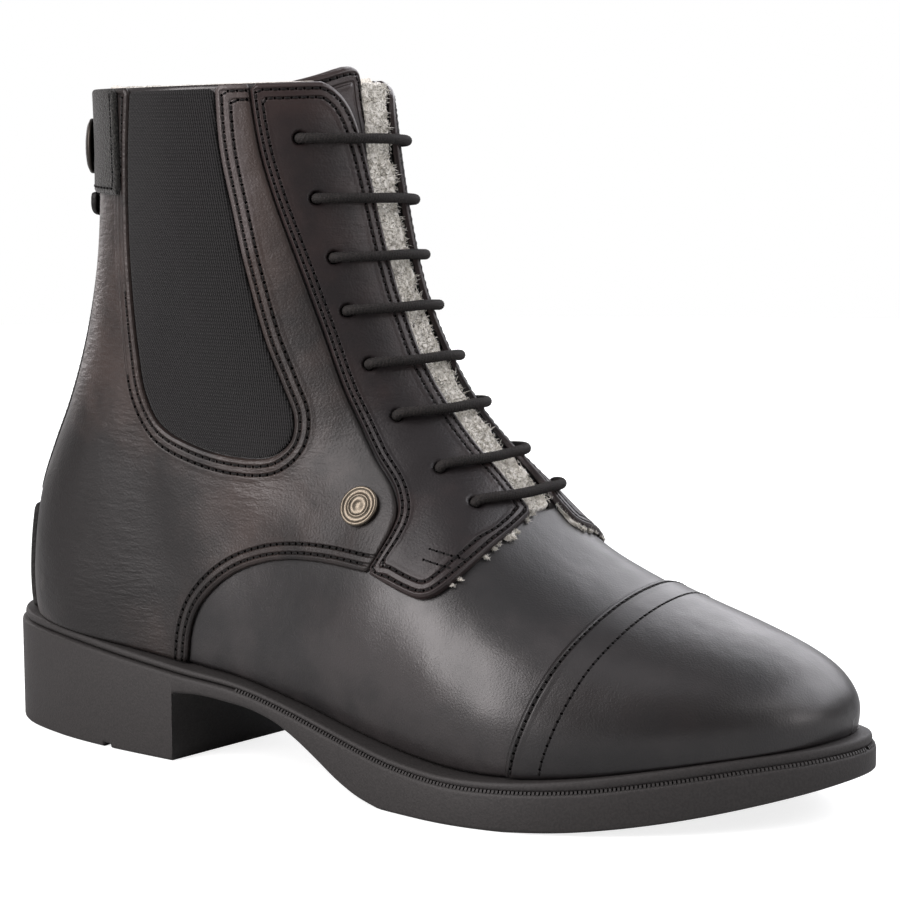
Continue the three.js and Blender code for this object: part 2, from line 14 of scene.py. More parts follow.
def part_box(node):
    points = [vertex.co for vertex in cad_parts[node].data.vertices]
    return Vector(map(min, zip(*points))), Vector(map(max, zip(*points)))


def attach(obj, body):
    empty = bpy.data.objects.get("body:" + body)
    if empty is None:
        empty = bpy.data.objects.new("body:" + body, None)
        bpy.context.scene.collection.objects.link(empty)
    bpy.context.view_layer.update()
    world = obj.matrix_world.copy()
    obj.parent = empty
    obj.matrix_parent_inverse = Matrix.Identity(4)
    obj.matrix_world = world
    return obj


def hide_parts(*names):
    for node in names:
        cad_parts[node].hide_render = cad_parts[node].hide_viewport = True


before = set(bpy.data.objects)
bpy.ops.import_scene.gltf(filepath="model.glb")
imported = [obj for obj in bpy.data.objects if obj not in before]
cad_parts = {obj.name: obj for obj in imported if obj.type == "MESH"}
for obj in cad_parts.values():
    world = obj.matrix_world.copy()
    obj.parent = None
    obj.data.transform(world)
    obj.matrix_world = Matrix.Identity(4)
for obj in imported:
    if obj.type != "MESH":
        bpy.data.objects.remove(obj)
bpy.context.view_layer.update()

MM = 0.001

# Driving sizes, as in the part
LENGTH = 286
BALL = 107.5
HEIGHT = 197.5
COLLAR_FRONT = 101.2
WALL = 2.2
SKIN = 1.2
FACING = 2.0
ELASTIC = 0.8
STRAP = 1.4
ZIP_GUARD = 2.8
PATCH_THICK = 2
PULL_THICK = 1.9
TONGUE = 2.6
INSOLE = 2.5
CORD = 3.2
BADGE = 11.8
SNAP = 16.5
GAP = 0.3

# Fineness of the meshes
ROWS, SIDE = 170, 170
SHELL_ROWS, SHELL_SIDE = 110, 130
TALL_ROWS, TALL_SIDE = 130, 150


def table(names, rows):
    return {name: np.array(column, float) for name, column in zip(names, zip(*rows))}


# x is a share of LENGTH, z of HEIGHT, and y and the widths are shares of BALL, all in percent
FRONT = table("xz", [
    (47.55, 11), (47.75, 13.7), (47.05, 16.7), (44.95, 19.75), (41.6, 22.2),
    (36.35, 24.9), (30.75, 27.55), (25.15, 30.6), (19.6, 34.7), (15.75, 39.3),
    (12.6, 44.05), (9.6, 48.35), (6.45, 53.65), (2.95, 61.25), (0.3, 69.1),
    (-1.45, 77.45), (-2.8, 86.6), (-3.65, 94.2), (-4.3, 100), (-4.6, 105.3),
])
BACK = table("xz", [
    (-46.15, 17.85), (-46.45, 20.75), (-46.45, 25.3), (-46, 31.4), (-45, 38),
    (-43.15, 44.55), (-41.05, 51.15), (-39.1, 58.75), (-37.55, 66.85),
    (-36.5, 74.95), (-35.85, 83.55), (-35.6, 92.15), (-35.65, 100), (-35.75, 105.3),
])
SEAT = table(("x", "z", "welt"), [
    (-47.6, 17.95, 1.7), (-36.7, 17.1, 1.5), (-25.9, 15.55, 1.4), (-19.2, 14.5, 1.3),
    (-12.2, 13.55, 1.2), (-4.9, 11.6, 1.15), (2.4, 9.3, 1.15), (10.1, 7.5, 1.25),
    (17.5, 6.75, 1.4), (24.1, 7.05, 1.6), (30.4, 7.9, 1.9), (36.7, 9.2, 2),
    (42.7, 10.35, 2), (47.9, 11, 1.9),
])
FOOT = table(("x", "outer", "inner", "ridge", "rise", "tuck"), [
    (-24.5, 33.5, 29.3, 0, 11.1, 2.3), (-14, 36.7, 27.4, 0.5, 11.1, 2.8),
    (-3.5, 41.4, 26.5, 1.9, 10.1, 3.3), (7, 48.4, 29.8, 3.7, 8.6, 2.8),
    (15.7, 54.4, 34, 5.6, 7, 2.1), (22.7, 56.7, 35.8, 6.5, 5.7, 1.6),
    (31.5, 54.9, 36.7, 7.4, 4.3, 1.1), (48.3, 48.4, 35.3, 8.8, 2.9, 0.6),
])
SHAFT = table(("z", "outer", "inner", "ridge", "back", "front"), [
    (15.2, 29.8, 28.8, 0, 16.1, 24.5), (25.3, 30.7, 29.8, 0, 16.4, 24.5),
    (38, 30.2, 29.3, 0, 15.7, 22.7), (50.6, 30.2, 29.3, 0.5, 15.4, 21),
    (63.3, 31.6, 30.7, 0.9, 16.1, 19.2), (75.9, 33.5, 32.6, 0.9, 16.8, 18.2),
    (88.6, 34.9, 34, 0.9, 16.8, 17.5), (105.3, 35.8, 34.9, 0.9, 16.8, 16.8),
])
SOLE = table("xy", [
    (-50, 1.4), (-49, -8.8), (-45.5, -19.1), (-38.5, -27.9), (-31.5, -32.8), (-21, -36.6),
    (-10.5, -38.9), (0, -44.3), (10.5, -51.7), (17.5, -54.4), (24.5, -52.4), (31.5, -45.2),
    (38.5, -33.7), (44.8, -18.1), (48.6, -4.7), (50, 7.4), (49.1, 17.7), (45.5, 27.4),
    (38.5, 38.3), (31.5, 44.1), (24.5, 45.5), (17.5, 43.3), (10.5, 37.8), (0, 29),
    (-10.5, 25.9), (-21, 29), (-31.5, 31.1), (-38.5, 28.7), (-45.5, 20), (-49, 10.2),
])
SPRING = table("xz", [
    (23, 0), (29.4, 0.5), (35.7, 1.6), (42, 3.2), (46.9, 4.8), (50, 6), (52, 6.8),
])
ARCH = table("xz", [
    (-26, 10.3), (-20.6, 10.4), (-17, 10.7), (-13.3, 10.4), (-9.4, 9.8), (-6.3, 8.7),
    (-3.5, 7), (-0.7, 4.9), (2.1, 2.7), (4.9, 1.1), (8.4, 0),
])
BREAST = {"outer": -20.4, "inner": -17.2}
CAP_EDGE = table("xz", [
    (21.9, 2), (22.4, 7.3), (23, 10.6), (24, 14.7), (25, 19.2), (25.8, 23.3), (26.5, 26.6), (28, 36),
])
VAMP_EDGE = table("xz", [
    (-19.8, 10), (-19.4, 15.7), (-18.9, 19.7), (-17.9, 23), (-16, 26.1), (-12.9, 29.3),
    (-8.7, 31.5), (-4.2, 32.5), (0.2, 32.6), (4.9, 32.2),
])
FACING_REAR = table("xz", [
    (5.1, 32.2), (5.9, 34.7), (6.55, 37.5), (6.6, 40), (5.4, 43.3), (2.4, 47.7), (-1.2, 55),
    (-4.2, 64.5), (-6.8, 74.7), (-9, 84), (-10.3, 91), (-11.7, 103),
])
FLAP_OUTER = table("xz", [
    (14.6, 41.8), (15.3, 40.2), (15.8, 37.6), (15.5, 35.6), (14.8, 33.3), (13.9, 31.3),
    (12.8, 29.9), (11.5, 29.4), (9.6, 30), (7.3, 31.1),
])
FLAP_INNER = table("xz", [
    (16.8, 41), (17.6, 38), (18, 35.6), (17.6, 33.3), (16.4, 31.4), (14.6, 30.1),
    (12.2, 29.4), (9.6, 30), (7.3, 31.1),
])
FLAP_INNER_SIDE = {"y": 8.8, "z": 41}
GORE = table("xz", [
    (-24.8, 104), (-25.8, 93), (-26.3, 81), (-26.2, 72), (-25.6, 62), (-24.7, 54.4),
    (-23, 50.3), (-18.9, 47.7), (-13.3, 46.3), (-8.9, 46.8), (-6.8, 49.1), (-6.5, 52.5),
    (-7.8, 57), (-9.9, 64), (-11.9, 74.5), (-13.1, 83), (-14.2, 91.5), (-14.8, 104),
])
THROAT = table("yz", [
    (-3, 39.6), (-4.6, 41), (-4.6, 54), (-3.9, 70), (-5.2, 87), (-7.2, 94.4), (-9.4, 98),
    (-12.5, 100.2), (-18, 102.5), (-18, 125), (26, 125), (26, 101.6), (18.5, 99.9), (14, 98.6),
    (11.2, 96.6), (9.8, 93.8), (9.3, 89), (9.3, 43), (9, 41), (7.4, 39.6),
])
TONGUE_EDGE = table("yz", [
    (-26, 31), (-28, 40), (-28.5, 98.5), (-24, 100), (-14, 101.8), (-2.4, 103.2), (0.6, 102.4),
    (1.4, 96), (3.5, 87), (9, 81), (17, 75), (21.5, 66), (22.5, 40), (20, 31),
])
STRIP = table("yz", [
    (-6.6, 39), (-6, 70), (-4.8, 84), (-2.2, 88), (-0.6, 95), (0, 101), (1, 104), (24, 104), (24, 39),
])
BARS = [
    (92.9, 91.6, 21.3), (84.2, 82.8, 19.5), (75.6, 74.6, 18), (67.9, 66.9, 17.7),
    (60.2, 59.4, 17.3), (52.9, 52.6, 17.6), (45.8, 45.7, 18.7), (41, 40.6, 19.2),
]
BACK_SHARE = table("ts", [(0, 0), (0.15, 0.06), (0.45, 0.3), (0.6, 0.47), (1, 1)])
ZIP = {"half": 11, "foot": 36, "top": 84.2}
PATCH = {"half": 12, "top": 34.5}
TAB = {"front": -26.8, "foot": 84.5}
PULL = {"left": -14, "right": -5, "foot": 80.6}
BADGE_AT = (2.6, 40.6)
SNAP_AT = (-33.8, 91.5)


def px(share):
    return np.asarray(share) * LENGTH / 100


def py(share):
    return np.asarray(share) * BALL / 100


def pz(share):
    return np.asarray(share) * HEIGHT / 100


def mix(a, b, t):
    return a + (b - a) * t


def ease(v):
    v = np.clip(v, 0, 1)
    return v * v * (3 - 2 * v)


def read(rows, by, of, at):
    """Column `of` at the value `at` of column `by`: smooth inside the table, straight beyond it."""
    xs, ys = rows[by], rows[of]
    h = np.diff(xs)
    slope = np.diff(ys) / h
    tangent = np.concatenate([
        slope[:1], (slope[:-1] * h[1:] + slope[1:] * h[:-1]) / (h[1:] + h[:-1]), slope[-1:]
    ])
    at = np.asarray(at, float)
    i = np.clip(np.searchsorted(xs, at) - 1, 0, len(xs) - 2)
    raw = (at - xs[i]) / h[i]
    t = np.clip(raw, 0, 1)
    inside = (
        (2 * t**3 - 3 * t**2 + 1) * ys[i] + (t**3 - 2 * t**2 + t) * h[i] * tangent[i]
        + (3 * t**2 - 2 * t**3) * ys[i + 1] + (t**3 - t**2) * h[i] * tangent[i + 1]
    )
    return inside + (raw - t) * h[i] * np.where(raw < 0, tangent[i], tangent[i + 1])


def curve(rows, across, fine=8, even=False):
    """A table of points as a fine smooth line in the plane of its first column and z."""
    knots = np.stack([(px if across == "x" else py)(rows[across]), pz(rows["z"])], 1)
    count = len(knots)
    spread = np.ones(count - 1) if even else np.linalg.norm(np.diff(knots, axis=0), axis=1) ** 0.5
    walk = np.concatenate([[0], np.cumsum(spread)])
    line = {"i": walk, "a": knots[:, 0], "b": knots[:, 1]}
    at = np.interp(np.linspace(0, count - 1, (count - 1) * fine + 1), np.arange(count), walk)
    return np.stack([read(line, "i", "a", at), read(line, "i", "b", at)], 1)


def walked(rows):
    """A fine line through a table, with the way walked along it."""
    line = curve(rows, "x", 30, even=True)
    steps = np.hypot(*np.diff(line, axis=0).T)
    return {"x": line[:, 0], "z": line[:, 1], "walk": np.concatenate([[0], np.cumsum(steps)])}


def look(line, by, of, at):
    """Column `of` of a fine line at the value `at` of column `by`."""
    xs, ys = line[by], line[of]
    i = np.clip(np.searchsorted(xs, at) - 1, 0, len(xs) - 2)
    return ys[i] + (at - xs[i]) * (ys[i + 1] - ys[i]) / (xs[i + 1] - xs[i])


front, back = walked(FRONT), walked(BACK)
front_walk = look(front, "z", "walk", pz(COLLAR_FRONT))
back_walk = look(back, "z", "walk", HEIGHT)
tip = int(front["x"].argmax())
tip_x = front["x"][tip]
ridge = {name: front[name][tip:][::-1] for name in "xz"}


def seat(x):
    return pz(read(SEAT, "x", "z", x * 100 / LENGTH))


def groove(x):
    return seat(x) - pz(read(SEAT, "x", "welt", x * 100 / LENGTH))


def rounded(distance, length, p, q):
    """Share of the width at a distance from a rounded end of the given length."""
    return (1 - (1 - np.clip(distance / length, 0, 1)) ** p) ** (1 / q)


def foot(x, z, side):
    """Half width and middle y of the foot's sections."""
    def row(name):
        return read(FOOT, "x", name, x * 100 / LENGTH)

    width = py(np.where(side < 0, row("outer"), row("inner")))
    rise = pz(row("rise"))
    widest = seat(x) + rise
    top = look(ridge, "x", "z", np.minimum(x, tip_x))
    above = np.clip((z - widest) / np.maximum(top - widest, 1), 0, 1)
    below = np.clip((widest - z) / rise, 0, 1)
    ahead = tip_x - 0.8 * below**2 - x
    half = width * rounded(ahead, 0.308 * LENGTH, 2.15, 2.1) * (1 - above**2.1) ** (1 / 1.95)
    half -= py(row("tuck")) * below**2 * np.sqrt(np.clip(ahead / (0.07 * LENGTH), 0, 1))
    return np.maximum(half, 0), py(row("ridge"))


def shaft(x, z, side):
    """Half width and middle y of the shaft's sections."""
    def row(name):
        return read(SHAFT, "z", name, z * 100 / HEIGHT)

    half = py(np.where(side < 0, row("outer"), row("inner")))
    half = half * rounded(x - look(back, "z", "x", z), px(row("back")), 2.2, 2)
    half = half * rounded(look(front, "z", "x", z) - x, px(row("front")), 2, 2)
    return np.maximum(half, 0), py(row("ridge"))


def ankle(x, z):
    """Share of the shaft in the blend of foot and shaft."""
    ax, az, bx, bz = px(9.4), pz(48.6), px(-17.5), pz(15.2)
    ahead = ((x - ax) * (az - bz) - (z - az) * (ax - bx)) / np.hypot(bx - ax, bz - az)
    return ease(0.5 - ahead / (0.196 * LENGTH))


def skin(x, z, side):
    """Point of the upper's outer face over a point of the side view."""
    foot_half, foot_y = foot(x, z, side)
    shaft_half, shaft_y = shaft(x, z, side)
    share = ankle(x, z)
    half = np.sqrt(mix(foot_half**2, shaft_half**2, share))
    return np.stack(np.broadcast_arrays(x, mix(foot_y, shaft_y, share) + side * half, z), -1)


def spot(t, s, side):
    """Point of the face by its share of the height t and of the way from heel to toe s."""
    share = read(BACK_SHARE, "t", "s", t) * back_walk
    heel_x, heel_z = look(back, "walk", "x", share), look(back, "walk", "z", share)
    toe_x, toe_z = (look(front, "walk", name, t * front_walk) for name in "xz")
    x0 = mix(back["x"][0], front["x"][0], s)
    sag = seat(x0) - mix(back["z"][0], front["z"][0], s)
    hold = ease(1 - t / 0.34)
    return skin(mix(heel_x, toe_x, s), mix(heel_z, toe_z, s) + hold * sag, side)


# Soft troughs and swellings of the leather.
# Each runs from one point of the side view to another on one side; depth is negative for a trough.
CREASES = table(("x0", "z0", "x1", "z1", "side", "depth", "width"), [
    (-74, 96, -66, 62, -1, -0.7, 9), (-58, 82, -44, 52, -1, 0.5, 10),
    (-24, 86, 2, 74, -1, -0.45, 6), (-34, 78, -12, 70, -1, 0.5, 8),
    (-100, 66, -84, 88, -1, -0.5, 8), (-74, 96, -66, 62, 1, -0.6, 9),
    (-30, 84, -2, 72, 1, -0.5, 7), (22, 47, 44, 62, 1, -0.45, 6),
    (34, 38, 56, 56, 1, -0.3, 5), (-30, 190, -16, 140, -1, 0.3, 7),
    (22, 88, 27, 70, -1, -0.5, 4), (33, 92, 38, 72, -1, 0.5, 5), (6, 122, 16, 98, -1, -0.35, 5),
])


def relief(p):
    """How far the creases push the points of the face outwards."""
    total = np.zeros(p.shape[:-1])
    for x0, z0, x1, z1, side, depth, width in zip(*CREASES.values()):
        run = np.array([x1 - x0, z1 - z0])
        away = p[..., [0, 2]] - (x0, z0)
        along = np.clip((away @ run) / (run @ run), 0, 1)
        off = np.hypot(*np.moveaxis(away - along[..., None] * run, -1, 0))
        total += depth * np.exp(-((off / width) ** 2)) * ease(0.5 + side * p[..., 1] / 12)
    return total


# Soft spots of the side view where the leather's colour is made paler, or darker where tone is negative.
# They are partly burnished leather and partly painted light and shade: painted highlights where the lamps
# fall short, painted shade where they light too much and along the creases, and the painted shadow of the
# back tab (the spot at x -82).
BURNISH_AND_PAINTED_LIGHT = table(("x", "z", "long", "tall", "tone"), [
    (-8, 90, 22, 14, 0.05), (-38, 74, 22, 12, 0.55), (-88, 118, 20, 26, 0.2), (-98, 66, 26, 32, -1.5),
    (-70, 60, 20, 16, -0.6), (-60, 84, 16, 9, -0.35), (-30, 52, 16, 12, 0.3), (24, 46, 30, 13, 0.9),
    (-12, 34, 30, 12, 0.05), (-40, 168, 12, 44, 2.2), (66, 40, 12, 14, -0.3), (12, 97, 14, 12, -1.0),
    (4, 140, 20, 22, 0.1), (96, 40, 22, 8, 0.4), (-16, 199, 12, 8, 2.0), (90, 18, 40, 8, -0.4),
    (-82, 186, 8, 18, -0.9),
])


def burnish_and_painted_light(p):
    """How much paler the leather's colour is made at points of the face, about -1 to 1: burnished leather,
    painted light and painted shade.
    """
    total = np.zeros(p.shape[:-1])
    for x, z, long, high, tone in zip(*BURNISH_AND_PAINTED_LIGHT.values()):
        total += tone * np.exp(-(((p[..., 0] - x) / long) ** 2) - ((p[..., 2] - z) / high) ** 2)
    return total


# Values of a distance field far inside and far outside its outline
DEEP, OUT = 60, -50


class Cells:
    """Grid of points on the outer face, closed round the boot: rows go up, columns go round."""

    def __init__(self, shares, side_count):
        s = (1 - np.cos(np.linspace(0, np.pi, side_count + 1))) / 2
        s = np.concatenate([s, s[::-1][1:-1]])[None]
        side = np.where(np.arange(s.size) <= side_count, -1, 1)[None]
        self.t = np.asarray(shares)[:, None] + 0 * s
        self.point = spot(self.t, s, side)
        self.point = self.point + self._normals() * relief(self.point)[..., None]
        self.normal = self._normals()
        step = np.linalg.norm(np.diff(self.point, axis=0), axis=2)
        self.climb = np.concatenate([np.zeros((1, s.size)), np.cumsum(step, 0)])
        self.along_i = np.gradient(self.point, axis=0)
        self.along_j = (np.roll(self.point, -1, 1) - np.roll(self.point, 1, 1)) / 2
        top = np.array([[np.interp(1, self.t[:, 0], column)] for column in self.climb.T]).T
        self.below_top = top - self.climb

    def _normals(self):
        round_ = np.roll(self.point, -1, 1) - np.roll(self.point, 1, 1)
        up = np.gradient(self.point, axis=0)
        normal = np.cross(round_, up)
        normal[..., 2] *= ease(self.t / 0.05) * ease(np.abs(1 - self.t) / 0.04)
        normal = normal + self.point * (1e-6, 1e-6, 0)
        return normal / np.linalg.norm(normal, axis=2, keepdims=True)

    def sample(self, values, at):
        """Values of the grid between its points; `at` holds row and column numbers."""
        i = np.clip(at[:, 0], 0, len(values) - 1.001)
        i0, j0 = np.floor(i).astype(int), np.floor(at[:, 1]).astype(int)
        a, b = i - i0, at[:, 1] - j0
        j0, j1 = j0 % values.shape[1], (j0 + 1) % values.shape[1]
        if values.ndim == 3:
            a, b = a[:, None], b[:, None]
        return (
            values[i0, j0] * (1 - a) * (1 - b) + values[i0, j1] * (1 - a) * b
            + values[i0 + 1, j0] * a * (1 - b) + values[i0 + 1, j1] * a * b
        )

    def inside(self, axis, outline, d=0.0, where=None):
        """Distance along the face inside a closed outline seen from one side, negative outside."""
        p = (self.point + d * self.normal)[..., [axis, 2]].reshape(-1, 2)
        n = self.normal[..., [axis, 2]].reshape(-1, 2)
        best = np.full(len(p), 1e9)
        toward = np.zeros_like(p)
        odd = np.zeros(len(p), bool)
        for a, b in zip(outline, np.roll(outline, -1, 0)):
            run = b - a
            size = run @ run
            if size < 1e-12:
                continue
            share = np.clip(((p - a) @ run) / size, 0, 1)
            away = p - a - share[:, None] * run
            far = (away**2).sum(1)
            nearer = far < best
            best[nearer] = far[nearer]
            toward[nearer] = away[nearer]
            if a[1] != b[1]:
                crossed = (a[1] > p[:, 1]) != (b[1] > p[:, 1])
                odd ^= crossed & (p[:, 0] < run[0] * (p[:, 1] - a[1]) / run[1] + a[0])
        far = np.sqrt(best)
        tilt = (toward * n).sum(1) / np.maximum(far, 1e-9)
        far /= np.sqrt(np.maximum(1 - tilt**2, 0.16))
        field = np.where(odd, far, -far).reshape(self.t.shape)
        return field if where is None else np.where(where, field, OUT)

    def trim(self, field, level):
        """The grid cut off at a level: positions, faces and the lines of boundary positions."""
        rows, cols = field.shape
        high = field - level
        on = high > 0
        number = np.full(field.shape, -1)
        number[on] = np.arange(on.sum())
        positions = [tuple(p) for p in np.argwhere(on).astype(float)]
        right = np.roll(on, -1, 1)
        whole = on[:-1] & right[:-1] & on[1:] & right[1:]
        i, j = np.nonzero(whole)
        k = (j + 1) % cols
        faces = np.stack([number[i, j], number[i, k], number[i + 1, k], number[i + 1, j]], 1).tolist()
        part = (on[:-1] | right[:-1] | on[1:] | right[1:]) & ~whole
        made, following = {}, {}

        def crossing(a, b):
            key = (a[0], a[1] % cols, b[0], b[1] % cols)
            if (a[0], a[1]) > (b[0], b[1]):
                a, b, key = b, a, (key[2], key[3], key[0], key[1])
            if key not in made:
                va, vb = high[a[0], a[1] % cols], high[b[0], b[1] % cols]
                share = np.clip(va / (va - vb), 0.02, 0.98)
                made[key] = len(positions)
                positions.append((mix(a[0], b[0], share), mix(a[1], b[1], share)))
            return made[key]

        for i, j in np.argwhere(part).tolist():
            ring = ((i, j), (i, j + 1), (i + 1, j + 1), (i + 1, j))
            face, cuts = [], []
            for a, b in zip(ring, ring[1:] + ring[:1]):
                a_on, b_on = on[a[0], a[1] % cols], on[b[0], b[1] % cols]
                if a_on:
                    face.append(int(number[a[0], a[1] % cols]))
                if a_on != b_on:
                    face.append(crossing(a, b))
                    cuts.append((face[-1], a_on))
            faces.append(face)
            leaving = [c for c, out in cuts if out]
            coming = [c for c, out in cuts if not out]
            if cuts and not cuts[0][1]:
                coming = coming[1:] + coming[:1]
            following.update(zip(leaving, coming))
        lines = []
        starts = [v for v in following if v not in set(following.values())]
        while following:
            at = starts.pop() if starts else next(iter(following))
            line = [at]
            while at in following:
                at = following.pop(at)
                line.append(at)
            lines.append(line)
        return np.array(positions), faces, lines

    def slide(self, at, field, target):
        """Moves grid positions along the face until the field has the target value."""
        cols = field.shape[1]
        field_i = np.gradient(field, axis=0)
        field_j = (np.roll(field, -1, 1) - np.roll(field, 1, 1)) / 2
        at = at.copy()
        for _ in range(4):
            value = self.sample(field, at)
            gi, gj = self.sample(field_i, at), self.sample(field_j, at)
            pi, pj = self.sample(self.along_i, at), self.sample(self.along_j, at)
            e, f, g = (pi * pi).sum(1), (pi * pj).sum(1), (pj * pj).sum(1)
            size = np.maximum(e * g - f * f, 1e-9)
            wi, wj = (g * gi - f * gj) / size, (e * gj - f * gi) / size
            step = (target - value) / np.maximum(gi * wi + gj * wj, 0.15)
            step = np.clip(step, -1.5, 1.5)
            at[:, 0] = np.clip(at[:, 0] + step * wi, 0, len(field) - 1)
            at[:, 1] += step * wj
        return at

    def place(self, at, d):
        normal = self.sample(self.normal, at)
        normal /= np.linalg.norm(normal, axis=1, keepdims=True)
        return self.sample(self.point, at) + np.reshape(d, (-1, 1)) * normal


def shares_of(rows, low=0.0, high=1.0):
    """Shares of the height for a grid's rows, closer together at both ends."""
    i = np.arange(rows + 1) / rows
    return mix(low, high, i - 0.3 * np.sin(2 * np.pi * i) / (2 * np.pi))


# The whole face, the same for the upper, and its upper part for the tongue
main = Cells(shares_of(ROWS), SIDE)
shell = Cells(shares_of(SHELL_ROWS, 0.0, 1.03), SHELL_SIDE)
tall = Cells(shares_of(TALL_ROWS, 0.26, 1.045), TALL_SIDE)

# Meshes

sole_low = py(SOLE["y"]).min()
shift_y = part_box("outsole")[0].y / MM - sole_low


def to_frame(points):
    return (np.asarray(points, float) + (0, shift_y, 0)) * MM


def least(*distances):
    return np.minimum.reduce(distances)


def unit(v):
    return v / np.linalg.norm(v, axis=-1, keepdims=True)


def band(low, high, closed=True):
    """Faces between two rows of point numbers."""
    count = len(low)
    return [
        [low[(a + 1) % count], low[a], high[a], high[(a + 1) % count]]
        for a in range(count if closed else count - 1)
    ]


def circle(centre, side, up, count, radius=1.0):
    """Points round a centre, in the plane of two directions."""
    a = 2 * np.pi * np.arange(count)[:, None] / count
    return centre + np.reshape(radius, (-1, 1)) * (side * np.cos(a) + up * np.sin(a))


def build(name, points, faces, material, slot, nodes=(), smooth=True, **fields):
    mesh = bpy.data.meshes.new(name)
    mesh.from_pydata(to_frame(points).tolist(), [], [list(f) for f in faces])
    mesh.update()
    if smooth:
        mesh.shade_smooth()
    for field, values in fields.items():
        mesh.attributes.new(field, "FLOAT", "POINT").data.foreach_set(
            "value", np.asarray(values, np.float32)
        )
    mesh.materials.append(material)
    obj = bpy.data.objects.new(name, mesh)
    bpy.context.scene.collection.objects.link(obj)
    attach(obj, "root")
    if nodes:
        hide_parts(*nodes)
    return obj


EDGE = (1.3, 0.9, 0.55, 0.28, 0.1, 0.0)  # distances from the edge at which its rounding is cut
EDGE_SHARE = 0.75  # share of a sheet's thickness that its rounded edge takes
RUBBED = 7  # reach of the paler wear along an edge
NO_SEAM = 9.0  # distance that stands for no stitch row near


def panel(name, cells, field, low, high, material, slot, nodes=(), seam=None, edge=EDGE, rub=0.0):
    """A sheet of leather, cloth or fleece between two heights over the face, with a rounded edge."""
    at, faces, lines = cells.trim(field, edge[0])
    low_grid, high_grid = low + 0 * cells.t, high + 0 * cells.t
    upper_side = cells.place(at, cells.sample(high_grid, at))
    under_side = cells.place(at, cells.sample(low_grid, at))
    points = [upper_side, under_side]
    spots = [at, at]
    count = len(at)
    faces = [list(f) for f in faces] + [[count + v for v in reversed(f)] for f in faces]
    total = 2 * count
    for line in lines:
        closed = line[0] == line[-1]
        ring = line[:-1] if closed else line
        under = count + np.array(ring)
        before = np.array(ring)
        rim = at[ring]
        for distance in edge[1:]:
            moved = cells.slide(rim, field, distance)
            bulge = 1 - math.sqrt(max(0.0, 1 - (1 - distance / edge[0]) ** 2))
            top, bottom = cells.sample(high_grid, moved), cells.sample(low_grid, moved)
            points.append(cells.place(moved, top - (top - bottom) * EDGE_SHARE * bulge))
            spots.append(moved)
            here = total + np.arange(len(ring))
            total += len(ring)
            faces += band(before, here, closed)
            before = here
        points.append(cells.place(moved, bottom))
        spots.append(moved)
        here = total + np.arange(len(ring))
        total += len(ring)
        faces += band(before, here, closed) + band(here, under, closed)
    every = np.concatenate(spots)
    points = np.concatenate(points)
    seam_values = np.full(len(every), NO_SEAM) if seam is None else cells.sample(seam, every)
    return build(
        name, points, faces, material, slot, nodes,
        seam=seam_values,
        # Tone attribute: burnished leather with painted light and painted shade from the spots, plus paler
        # wear near the stitch rows.
        worn=burnish_and_painted_light(points) + rub * (2 * np.exp(-((seam_values / RUBBED) ** 2)) - 1),
    )


def resample(points, pitch):
    """Stations at an even pitch along a line, with the values of its points between them."""
    steps = np.linalg.norm(np.diff(points[:, :3], axis=0), axis=1)
    walk = np.concatenate([[0], np.cumsum(steps)])
    count = max(2, int(round(walk[-1] / pitch)) + 1)
    at = np.linspace(0, walk[-1], count)
    return np.stack([np.interp(at, walk, column) for column in points.T], 1)


def seam_runs(cells, seam, level, field, d, margin, keep=None):
    """Runs of points and normals along a level of the seam field, where the panel is."""
    runs = []
    positions, _, lines = cells.trim(seam, level)
    for line in lines:
        at = positions[line]
        on = cells.sample(field, at) > margin
        p = cells.place(at, np.full(len(at), d))
        if keep is not None:
            on &= keep(p)
        n = cells.sample(cells.normal, at)
        both = np.concatenate([p, n], 1)
        start = None
        if on.all():
            runs.append(both)
            continue
        if line[0] == line[-1]:
            first = int(np.argmin(on))
            both, on = np.roll(both[:-1], -first, 0), np.roll(on[:-1], -first)
        for k, good in enumerate(list(on) + [False]):
            if good and start is None:
                start = k
            if not good and start is not None:
                if k - start > 3:
                    runs.append(both[start:k])
                start = None
    return runs


def fuzz(points, scale, octaves=3):
    """Random heights from -1 to 1 over points."""
    total = np.zeros(points.shape[:-1])
    flat = points.reshape(-1, 3)
    values = total.reshape(-1)
    for k in range(octaves):
        grown = flat * (scale * 2**k) + 7.3 * k
        values += np.array([noise.noise(Vector(p)) for p in grown]) / 2**k
    return total


def scatter(cells, field, count):
    """Random grid positions where a field is positive, even over the face."""
    size = np.linalg.norm(np.cross(cells.along_i, cells.along_j), axis=2) * (field > 0)
    chosen = dice.choice(size.size, count, p=size.ravel() / size.sum())
    return np.stack(np.unravel_index(chosen, size.shape), 1) + dice.uniform(-0.5, 0.5, (count, 2))


def strands(name, points, ways, material, slot, long, thick, spread):
    """Short tapering tufts of fleece that stand on points of a surface."""
    count = len(points)
    way = unit(unit(ways) + spread * dice.normal(size=(count, 3)))
    bend = 0.7 * dice.normal(size=(count, 3))
    length = long * dice.uniform(0.5, 1.3, (count, 1))
    side = unit(np.cross(way, dice.normal(size=(count, 3))))
    other = np.cross(way, side)
    rings = []
    for share, size in ((-0.15, 1.0), (0.5, 0.8)):
        centre = points + length * (share * way + share**2 * bend * 0.5)
        for angle in (0, 2 * np.pi / 3, 4 * np.pi / 3):
            rings.append(centre + thick * size * (side * math.cos(angle) + other * math.sin(angle)))
    rings.append(points + length * (way + bend * 0.5))
    mesh_points = np.stack(rings, 1).reshape(-1, 3)
    shape = ((0, 1, 4, 3), (1, 2, 5, 4), (2, 0, 3, 5), (3, 4, 6), (4, 5, 6), (5, 3, 6), (2, 1, 0))
    faces = [[7 * k + v for v in face] for k in range(count) for face in shape]
    return build(name, mesh_points, faces, material, slot)


dice = np.random.default_rng(7)
threads, holes = [], []


